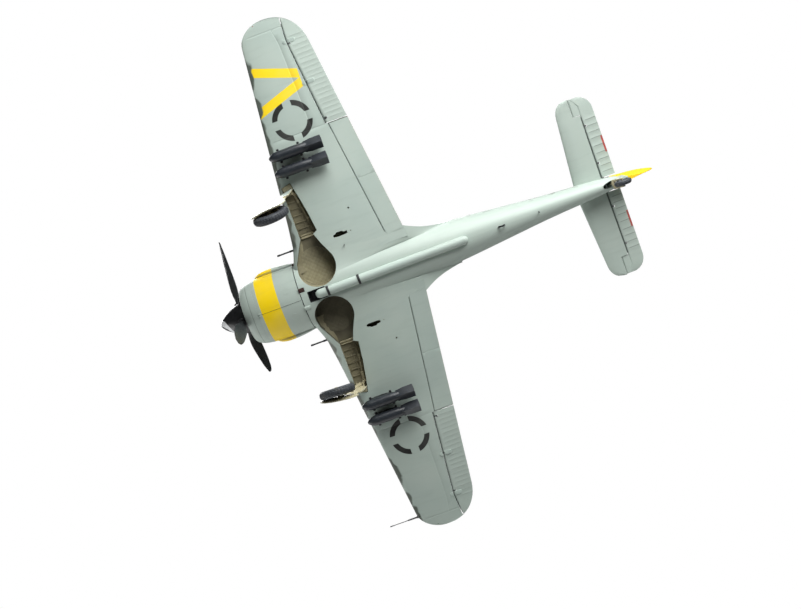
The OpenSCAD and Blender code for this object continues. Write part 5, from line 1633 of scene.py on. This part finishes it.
def tyre_shape():
    """Tyre with grooved tread and blocks; Z is the axle."""
    turns = [2 * math.pi * k / 144 for k in range(144)]
    rows = [(5.35, -1.55, 0), (5.9, -2.0, 0), (6.6, -2.35, 0), (7.4, -2.5, 0), (8.3, -2.5, 0), (9.1, -2.35, 0),
            (9.75, -2.05, 0), (10.25, -1.68, 1), (10.5, -1.38, 1), (10.36, -1.3, 2), (10.36, -1.14, 2),
            (10.6, -1.06, 1), (10.72, -0.72, 1), (10.76, -0.5, 1), (10.6, -0.42, 2), (10.6, -0.26, 2),
            (10.8, -0.18, 1), (10.8, 0.18, 1)]
    rows = rows + [(r, -h, k) for r, h, k in reversed(rows[:-1])][1:] + [(5.35, 1.55, 0), (5.35, -1.55, 0)]
    rings, wash = [], []
    for r, h, kind in rows:
        notch = [kind == 1 and k % 4 == 0 for k in range(len(turns))]
        rings.append([((r - 0.14 * cut) * math.cos(t), (r - 0.14 * cut) * math.sin(t), h)
                      for t, cut in zip(turns, notch)])
        wash.append([float(kind == 2 or cut) for cut in notch])
    s = Shape().loft(rings, wash, caps=False)
    for way in (-1, 1):
        s.lathe([(8.55, way * 2.38), (8.9, way * 2.5), (9.2, way * 2.36)], 72, closed=True)
    return s


def hub_shape():
    s = Shape()
    half = [(0.78, 2.0), (1.7, 2.0), (1.85, 1.85), (2.1, 1.1), (3.0, 0.85), (4.2, 0.95), (4.8, 1.45), (5.1, 1.85),
            (5.38, 1.85), (5.38, 1.5)]
    s.lathe(twin(half), 72, closed=True)
    for k in range(10):
        t = 2 * math.pi * k / 10
        for d in (-1, 1):
            s.lathe([(0, 0), (0.27, 0), (0.27, 0.22), (0.2, 0.3), (0, 0.3)], 6,
                    frame_of((3.3 * math.cos(t), 3.3 * math.sin(t), d * 0.84), (0, 0, d)))
    return s


WHEEL_FRAME = LEG_FRAME @ frame_of((0, 0, LEG_LENGTH), (0, 1, 0), (1, 0, 0))
for side, sided in SIDES:
    leg, wheel = f"gear_{side}", f"wheel_{side}"
    piece(f"oleo_leg_{side}", sided(leg_shape().moved(LEG_FRAME)), "gear", [f"gear_leg_{side}"], 40,
          body=leg)
    piece(f"brake_pipe_{side}", sided(brake_pipe().moved(LEG_FRAME)), "black", angle=60, body=leg)
    piece(f"tyre_ring_{side}", sided(tyre_shape().moved(WHEEL_FRAME)), "tyre", [f"tyre_{side}"], 28,
          body=wheel)
    piece(f"hub_disc_{side}", sided(hub_shape().moved(WHEEL_FRAME)), "gear", [f"hub_{side}"],
          body=wheel)

# Tail wheel
tail = Shape()
tail.lathe([(0, -8.6), (1.0, -8.6), (1.1, -8.4), (1.1, 2.4), (0, 2.5)], 28, shift(0, TAIL_SWIVEL_Y, 0))
tail.block((-2.9, TAIL_SWIVEL_Y - 1.2, -9.5), (2.9, TAIL_SWIVEL_Y + 1.4, -8.3), 0.35)
for s in (-1, 1):
    path = [(s * 2.3, TAIL_SWIVEL_Y, -9.0), (s * 2.35, TAIL_SWIVEL_Y + 1.0, -10.9),
            (s * 2.3, TAIL_SWIVEL_Y + 2.8, -13.6), (s * 2.25, TAIL_AXLE[1], TAIL_AXLE[2])]
    tail.tube(path, [0.62, 0.6, 0.52, 0.5], 16)
    tail.lathe([(0, -0.35), (0.75, -0.35), (0.85, -0.2), (0.85, 0.2), (0.75, 0.35), (0, 0.35)], 24,
               frame_of((s * 2.3, TAIL_AXLE[1], TAIL_AXLE[2]), (1, 0, 0)))
tail.rod((-2.6, TAIL_AXLE[1], TAIL_AXLE[2]), (2.6, TAIL_AXLE[1], TAIL_AXLE[2]), 0.42, 20)
piece("tail_wheel_fork", tail, "gear", ["tailwheel_fork"], 40, body="tailwheel")
frame_tail = frame_of(TAIL_AXLE, (1, 0, 0))
half = [(3.35, 1.15), (3.75, 1.5), (4.3, 1.52), (4.75, 1.3), (5.1, 0.9), (5.18, 0.62), (5.0, 0.56), (5.0, 0.44),
        (5.34, 0.36), (TAIL_TYRE_R, 0.12)]
piece("tail_tyre_ring", Shape().lathe(twin(half), 72, frame_tail, closed=True), "tyre",
      ["tail_wheel"], body="tail_tyre")
half = [(0.5, 1.25), (1.2, 1.25), (1.35, 0.8), (2.6, 0.7), (3.1, 1.1), (3.38, 1.1)]
piece("tail_hub_disc", Shape().lathe(twin(half), 56, frame_tail, closed=True), "bare",
      body="tail_tyre")

# ---------------------------------------------------------------- canopy

def canopy_at(y, inset, a):
    """Point of the canopy shell: station, depth below the outside, angle round from the left rail."""
    half, top = lookup(y, [(s[0], s[1]) for s in CANOPY]), smooth_lookup(y, [(s[0], s[2]) for s in CANOPY])
    rail = body_top(y, half) + RAIL_LIFT
    c, s = ray(a)
    return ((half - inset) * power(c, 0.85), y, rail + max(top - inset - rail, 0.3) * max(s, 0) ** 0.85)


def canopy_sheet(ys, angles, out, inn):
    return Shape().shell(ys, angles, lambda y, a: (canopy_at(y, out, a), canopy_at(y, inn, a)))


AROUND = list(np.linspace(0, 180, 61))


def rail_strips(y0, y1, width, n=16):
    s = Shape()
    for a0, a1 in ((0, width), (180 - width, 180)):
        s.join(canopy_sheet(np.linspace(y0, y1, n), list(np.linspace(a0, a1, 8)), -0.02, GLASS + 0.12))
    return s


screen_glass = canopy_sheet(np.linspace(91.9, 99.3, 14), AROUND, 0.06, GLASS - 0.06)
screen_frame = canopy_sheet([97.9, 98.6, 99.4], AROUND, -0.05, GLASS + 0.15)
screen_frame.join(canopy_sheet([91.5, 91.9, 92.4], AROUND, -0.02, GLASS + 0.1))
screen_frame.join(rail_strips(91.6, 99.2, 16, 10))
for a in (52, 128):
    angles = [a - 4, a - 2, a, a + 2, a + 4]
    screen_frame.join(canopy_sheet(np.linspace(91.6, 99.2, 10), angles, -0.04, GLASS + 0.12))
piece("windscreen_glass", screen_glass, "glass", ["windscreen"], 50)
piece("windscreen_frame", screen_frame, "upper", angle=40)

hood = canopy_sheet(np.linspace(101.0, 132.3, 34), AROUND, 0.06, GLASS - 0.06)
hood_frame = canopy_sheet([99.8, 100.2, 100.8, 101.3], AROUND, -0.03, GLASS + 0.1)
hood_frame.join(rail_strips(101.0, 132.4, 17, 30))
hood_frame.join(canopy_sheet([132.0] + list(np.linspace(132.6, 146.9, 22)), AROUND, -0.03, GLASS))
hood_frame.join(canopy_sheet([116.4, 117.0, 117.6], list(np.linspace(3, 177, 50)), GLASS, GLASS + 0.35))
hood_frame.rod((0, 118.5, 27.9), (0, 128.6, 21.4), 0.28, 12)
for x in (-4.3, 4.3):
    hood_frame.rod((x, 117.2, 24.2), (x, 129, 20.9), 0.22, 12)
piece("hood_glass", hood, "glass", ["canopy_glass"], 50, body="canopy")
piece("hood_frame", hood_frame, "upper", ["canopy_frame"], 40, body="canopy")
rivets = Shape()
for y in np.arange(133.5, 145, 2.2):
    for a in np.arange(20, 161, 20):
        rivets.rod(canopy_at(y, 0.05, a), canopy_at(y, -0.12, a), 0.16, 8)
piece("hood_rivets", rivets, "upper", body="canopy")

# ---------------------------------------------------------------- cockpit

seat = Shape()
seat.block((-3.6, 112.1, 4.1), (3.6, 119.0, 5.0), 0.3)
back = turn(math.radians(-8), (1, 0, 0), (0, 118.6, 4.6))
seat.block((-3.6, 118.3, 4.6), (3.6, 119.3, 14.6), 0.45, back)
for s in (-1, 1):
    seat.block((min(s * 3.5, s * 4.3), 112.6, 4.4), (max(s * 3.5, s * 4.3), 118.8, 7.6), 0.35)
    for y in (113.2, 118.2):
        seat.tube([(s * 2.6, y, 3.7), (s * 2.6, y, 4.3)], 0.3, 10)
piece("seat_pan", seat, "cockpit", ["pilot_seat"])


def cushion(lo, hi, thin):
    """Swollen pad between two corners, thin along the given axis; a back pad swells forwards."""
    n = 18

    def point(i, j):
        u, v = i / n, j / n
        swell = max((16 * u * (1 - u) * v * (1 - v)) ** 0.35 - 0.12 * abs(math.sin(4 * math.pi * u)) ** 8, 0)
        x = mix(lo[0], hi[0], u)
        if thin == 2:
            y = mix(lo[1], hi[1], v)
            return (x, y, mix(lo[2], hi[2], swell)), (x, y, lo[2])
        z = mix(lo[2], hi[2], v)
        return (x, mix(hi[1], lo[1], swell), z), (x, hi[1], z)

    return Shape().shell(range(n + 1), range(n + 1), point)


cushions = cushion((-3.2, 112.5, 4.95), (3.2, 118.0, 6.1), 2).join(
    cushion((-3.1, 117.55, 5.6), (3.1, 118.3, 13.6), 1), back)
piece("seat_cushions", cushions, "leather", angle=70)
belts = Shape()
for s in (-1, 1):
    path = [(s * 1.3, 119.9, 15.0), (s * 1.35, 118.6, 14.2), (s * 1.5, 117.5, 12.0), (s * 1.4, 116.6, 8.5),
            (s * 1.0, 115.6, 6.7), (s * 0.5, 114.6, 6.5)]
    rows = [[(x - 0.42, y, z), (x + 0.42, y, z)] for x, y, z in path]
    belts.join(Shape().skin([[(p[0], p[1] - 0.16, p[2] + 0.1) for p in r] for r in rows], rows))
    rows = [[(x, y - 0.4, z), (x, y + 0.4, z)] for x, y, z in
            [(s * 3.6, 115.2, 6.6), (s * 2.6, 115.0, 6.9), (s * 1.4, 114.7, 6.8), (s * 0.4, 114.5, 6.6)]]
    belts.join(Shape().skin([[(p[0], p[1], p[2] + 0.14) for p in r] for r in rows], rows))
piece("seat_belts", belts, "webbing", angle=50)
buckle = Shape().block((-0.6, 114.2, 6.55), (0.6, 115.0, 6.95), 0.12)
for s in (-1, 1):
    buckle.block((s * 1.38 - 0.5, 116.9, 10.4), (s * 1.38 + 0.5, 117.35, 11.2), 0.1)
piece("belt_buckles", buckle, "bare")

stick = Shape()
stick.lathe([(0, 3.8), (1.2, 3.8), (1.2, 4.1), (0.8, 4.6), (0.42, 5.2), (0.34, 9.0), (0.3, 9.1), (0.55, 9.4),
             (0.62, 10.0), (0.55, 10.7), (0.62, 11.0), (0.4, 11.2), (0, 11.2)], 28, shift(0, 108.4, 0))
stick.block((-0.2, 107.6, 10.4), (0.2, 108.0, 10.9), 0.08)
piece("stick_grip", stick, "black", ["control_stick"])

panel = Shape()
panel.block((-6.0, 102.2, 5.0), (6.0, 103.0, 14.0), 0.3)
panel.block((-4.8, 102.0, 13.6), (4.8, 102.9, 14.2), 0.2)
for x in (-3.9, -1.3, 1.3, 3.9):
    for z in (7.4, 11):
        panel.lathe([(0.86, 102.95), (1.12, 102.95), (1.12, 103.2), (0.95, 103.3), (0.86, 103.3)], 32,
                    shift(x, 0, z) @ frame_of((0, 0, 0), (0, 1, 0)), closed=True)
for x, z in ((-5.2, 9.2), (-2.6, 9.2), (0, 9.2), (2.6, 9.2), (5.2, 9.2), (-2.6, 12.9), (2.6, 12.9), (0, 5.8)):
    panel.rod((x, 102.9, z), (x, 103.35, z), 0.24, 12)
piece("panel_board", panel, "black", ["instrument_panel"])
dials, hands = Shape(), Shape()
for i, x in enumerate((-3.9, -1.3, 1.3, 3.9)):
    for j, z in enumerate((7.4, 11)):
        m = shift(x, 0, z) @ frame_of((0, 0, 0), (0, 1, 0))
        dials.drum(0.84, 102.96, 103.04, 28, m)
        for k in range(12):
            t = math.radians(30 * k)
            hands.block((-0.04, -0.04 + 0.62, 103.03), (0.04, 0.76, 103.08), 0.005, m @ turn(t, (0, 0, 1)))
        hands.block((-0.05, -0.15, 103.03), (0.05, 0.55, 103.1), 0.005, m @ turn(1.1 * i + 2.0 * j, (0, 0, 1)))
piece("dial_faces", dials, "black")
piece("dial_marks", hands, "dial")
consoles = Shape()
for s in (-1, 1):
    lo, hi = sorted((s * 4.9, s * 6.5))
    consoles.block((lo, 103.4, 3.9), (hi, 124.8, 9.4), 0.25)
    for k, y in enumerate((105, 108.2, 111.4, 116, 120)):
        consoles.block((s * 5.7 - 0.6, y, 9.3), (s * 5.7 + 0.6, y + 1.9, 9.7 + 0.15 * (k % 2)), 0.12)
        consoles.rod((s * 5.7, y + 1.0, 9.6), (s * 5.7, y + 1.0, 10.3), 0.2, 12)
    consoles.rod((s * 5.6, 106.8, 9.6), (s * 5.3, 106.2, 11.2), 0.16, 10)
    for y in (106, 109):
        consoles.block((s * 2.0 - 0.9, y - 0.5 - 2.2, 4.0), (s * 2.0 + 0.9, y - 2.3, 5.4), 0.15)
consoles.block((-3.0, 121.5, 3.9), (3.0, 122.4, 15.6), 0.3)
consoles.block((-2.0, 120.7, 15.2), (2.0, 122.0, 18.6), 0.5)
piece("cockpit_consoles", consoles, "cockpit")
def coaming_point(y, x):
    z = 19.4 - 0.05 * x * x - 0.3 * (y - 99.9)
    return (x, y, z), (x, y, z - 0.9)


piece("coaming_pad", Shape().shell(np.linspace(99.9, 102.6, 6), np.linspace(-7.2, 7.2, 25), coaming_point),
      "leather", angle=60)

# ---------------------------------------------------------------- dark sheets inside the hinge gaps, coloured as painted shade

# Thin dark sheet round a hinge nose, standing for the shade inside the gap.
def gap_shade_sheet(xs, centre, start, stop):
    def point(x, a):
        y, z, r = centre(x)
        (p, q), (s, t) = ray(a, r + 0.22), ray(a, r + 0.12)
        return (x, y + p, z + q), (x, y + s, z + t)

    return Shape().shell(xs, np.linspace(start, stop, 11), point)


gap_shade_sheets = gap_shade_sheet(np.linspace(AILERON_X[0], 158, 14), aileron_nose, 130, 226)
gap_shade_sheets.join(gap_shade_sheet(np.linspace(FLAP_X[0], FLAP_X[1], 14), lambda x: (*flap_centre(x)[1:], flap_r(x)), 75, 200))
gap_shade_sheets.join(gap_shade_sheet([ELEVATOR_X0 - 0.5, 16, 26, 36, 44],
                        lambda x: (ELEVATOR_Y, TAIL_Z, elevator_r(x) + 0.02), 110, 250))
for x, way in ((AILERON_X[0], -1), (AILERON_X[1], 1)):
    gap_shade_sheets.shell(sorted((x + way * 0.26, x + way * 0.4)), np.linspace(aileron_line(x) - 1, wing_te(x) - 0.35, 8),
                  lambda u, y: ((u, y, wing_top(x, y) - 0.1), (u, y, wing_bottom(x, y) + 0.1)))
piece("hinge_gap_shade_sheets", both(gap_shade_sheets), "gap", angle=60)

# ---------------------------------------------------------------- finish of the carried nodes

FINISH = {
    "wing_spar": "bay", "hinge_brackets": "bare", "engine_block": "engine", "firewall": "black",
    "exhaust_stubs": "outlets", "cockpit_tub": "cockpit", "propeller_shaft": "steel", "spinner_backplate": "bare",
    "elevator_rod": "steel", "belly_aerials": "black", "gear_door_left": "door", "gear_door_right": "door",
}
for name, key in FINISH.items():
    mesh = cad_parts[name].data
    mesh.materials.clear()
    mesh.materials.append(MAT[key])
for side, sided in SIDES:
    piece(f"door_lining_{side}", sided(door_lining()), "gear", body=f"gear_{side}")

# ---------------------------------------------------------------- camera, light, floor

FLOOR_DROP = 1.30   # metres below the middle of the picture
FLOOR_HALF = 4

VIEW_POS = Vector((0.07766, 0.00483, -0.86666))
VIEW_RIGHT = Vector((-0.34418, 0.93890, -0.00049)).normalized()
VIEW_FORWARD = Vector((-0.11669, -0.04226, 0.99227)).normalized()
VIEW_UP = VIEW_RIGHT.cross(VIEW_FORWARD).normalized()

# Pale floor: level with the picture, far enough down to stay clear of the wing tips
floor_mesh = bpy.data.meshes.new("floor")
corners = [(a, b) for b in (-1, 1) for a in (-1, 1)]
floor_mesh.from_pydata([VIEW_UP * -FLOOR_DROP + VIEW_RIGHT * (a * FLOOR_HALF) + VIEW_FORWARD * (b * FLOOR_HALF)
                        for a, b in corners], [], [(0, 1, 3, 2)])
floor_mesh.materials.append(MAT["floor"])
floor = bpy.data.objects.new("floor", floor_mesh)
bpy.context.scene.collection.objects.link(floor)

cam = bpy.data.cameras.new("camera")
cam.lens, cam.sensor_width = 64.70, 36.0
cam.clip_start, cam.clip_end = 0.01, 60.0
camera = bpy.data.objects.new("camera", cam)
rotation = Matrix((VIEW_RIGHT, VIEW_UP, -VIEW_FORWARD)).transposed()
camera.matrix_world = Matrix.Translation(VIEW_POS) @ rotation.to_4x4()
bpy.context.scene.collection.objects.link(camera)
bpy.context.scene.camera = camera


def lamp(name, position, size, power_w, aim=Vector((0, 0, 0))):
    light = bpy.data.lights.new(name, "AREA")
    light.shape, light.size, light.energy = "DISK", size, power_w
    obj = bpy.data.objects.new(name, light)
    obj.location = position
    obj.rotation_mode = "QUATERNION"
    obj.rotation_quaternion = (aim - position).to_track_quat("-Z", "Y")
    bpy.context.scene.collection.objects.link(obj)


def studio(right, up, towards):
    """Point given along the picture's right and up and towards the camera, in metres."""
    return VIEW_RIGHT * right + VIEW_UP * up - VIEW_FORWARD * towards


lamp("key", studio(0.12, 0.62, 0.30), 0.9, 11.0)
lamp("side", studio(0.08, 0.42, 0.36), 0.3, 1.2)
lamp("bounce", studio(-0.85, -0.8, -0.05), 1.0, 5.0)
lamp("floor wash", studio(0, -0.75, 0), 1.5, 6.0, studio(0, -1.3, 0))
lamp("top", Vector((0.2, -0.4, 1.4)), 1.0, 16.0)

world = bpy.data.worlds.new("studio")
bpy.context.scene.world = world
world.use_nodes = True
tree = world.node_tree
tree.nodes.clear()
sky, seen = (tree.nodes.new("ShaderNodeBackground") for _ in range(2))
for background, strength in ((sky, 0.05), (seen, 1.0)):
    background.inputs["Color"].default_value = (1, 1, 1, 1)
    background.inputs["Strength"].default_value = strength
rays = tree.nodes.new("ShaderNodeLightPath")
choose = tree.nodes.new("ShaderNodeMixShader")
world_out = tree.nodes.new("ShaderNodeOutputWorld")
tree.links.new(rays.outputs["Is Camera Ray"], choose.inputs[0])
tree.links.new(sky.outputs[0], choose.inputs[1])
tree.links.new(seen.outputs[0], choose.inputs[2])
tree.links.new(choose.outputs[0], world_out.inputs[0])
bpy.context.scene.view_settings.view_transform = "Standard"
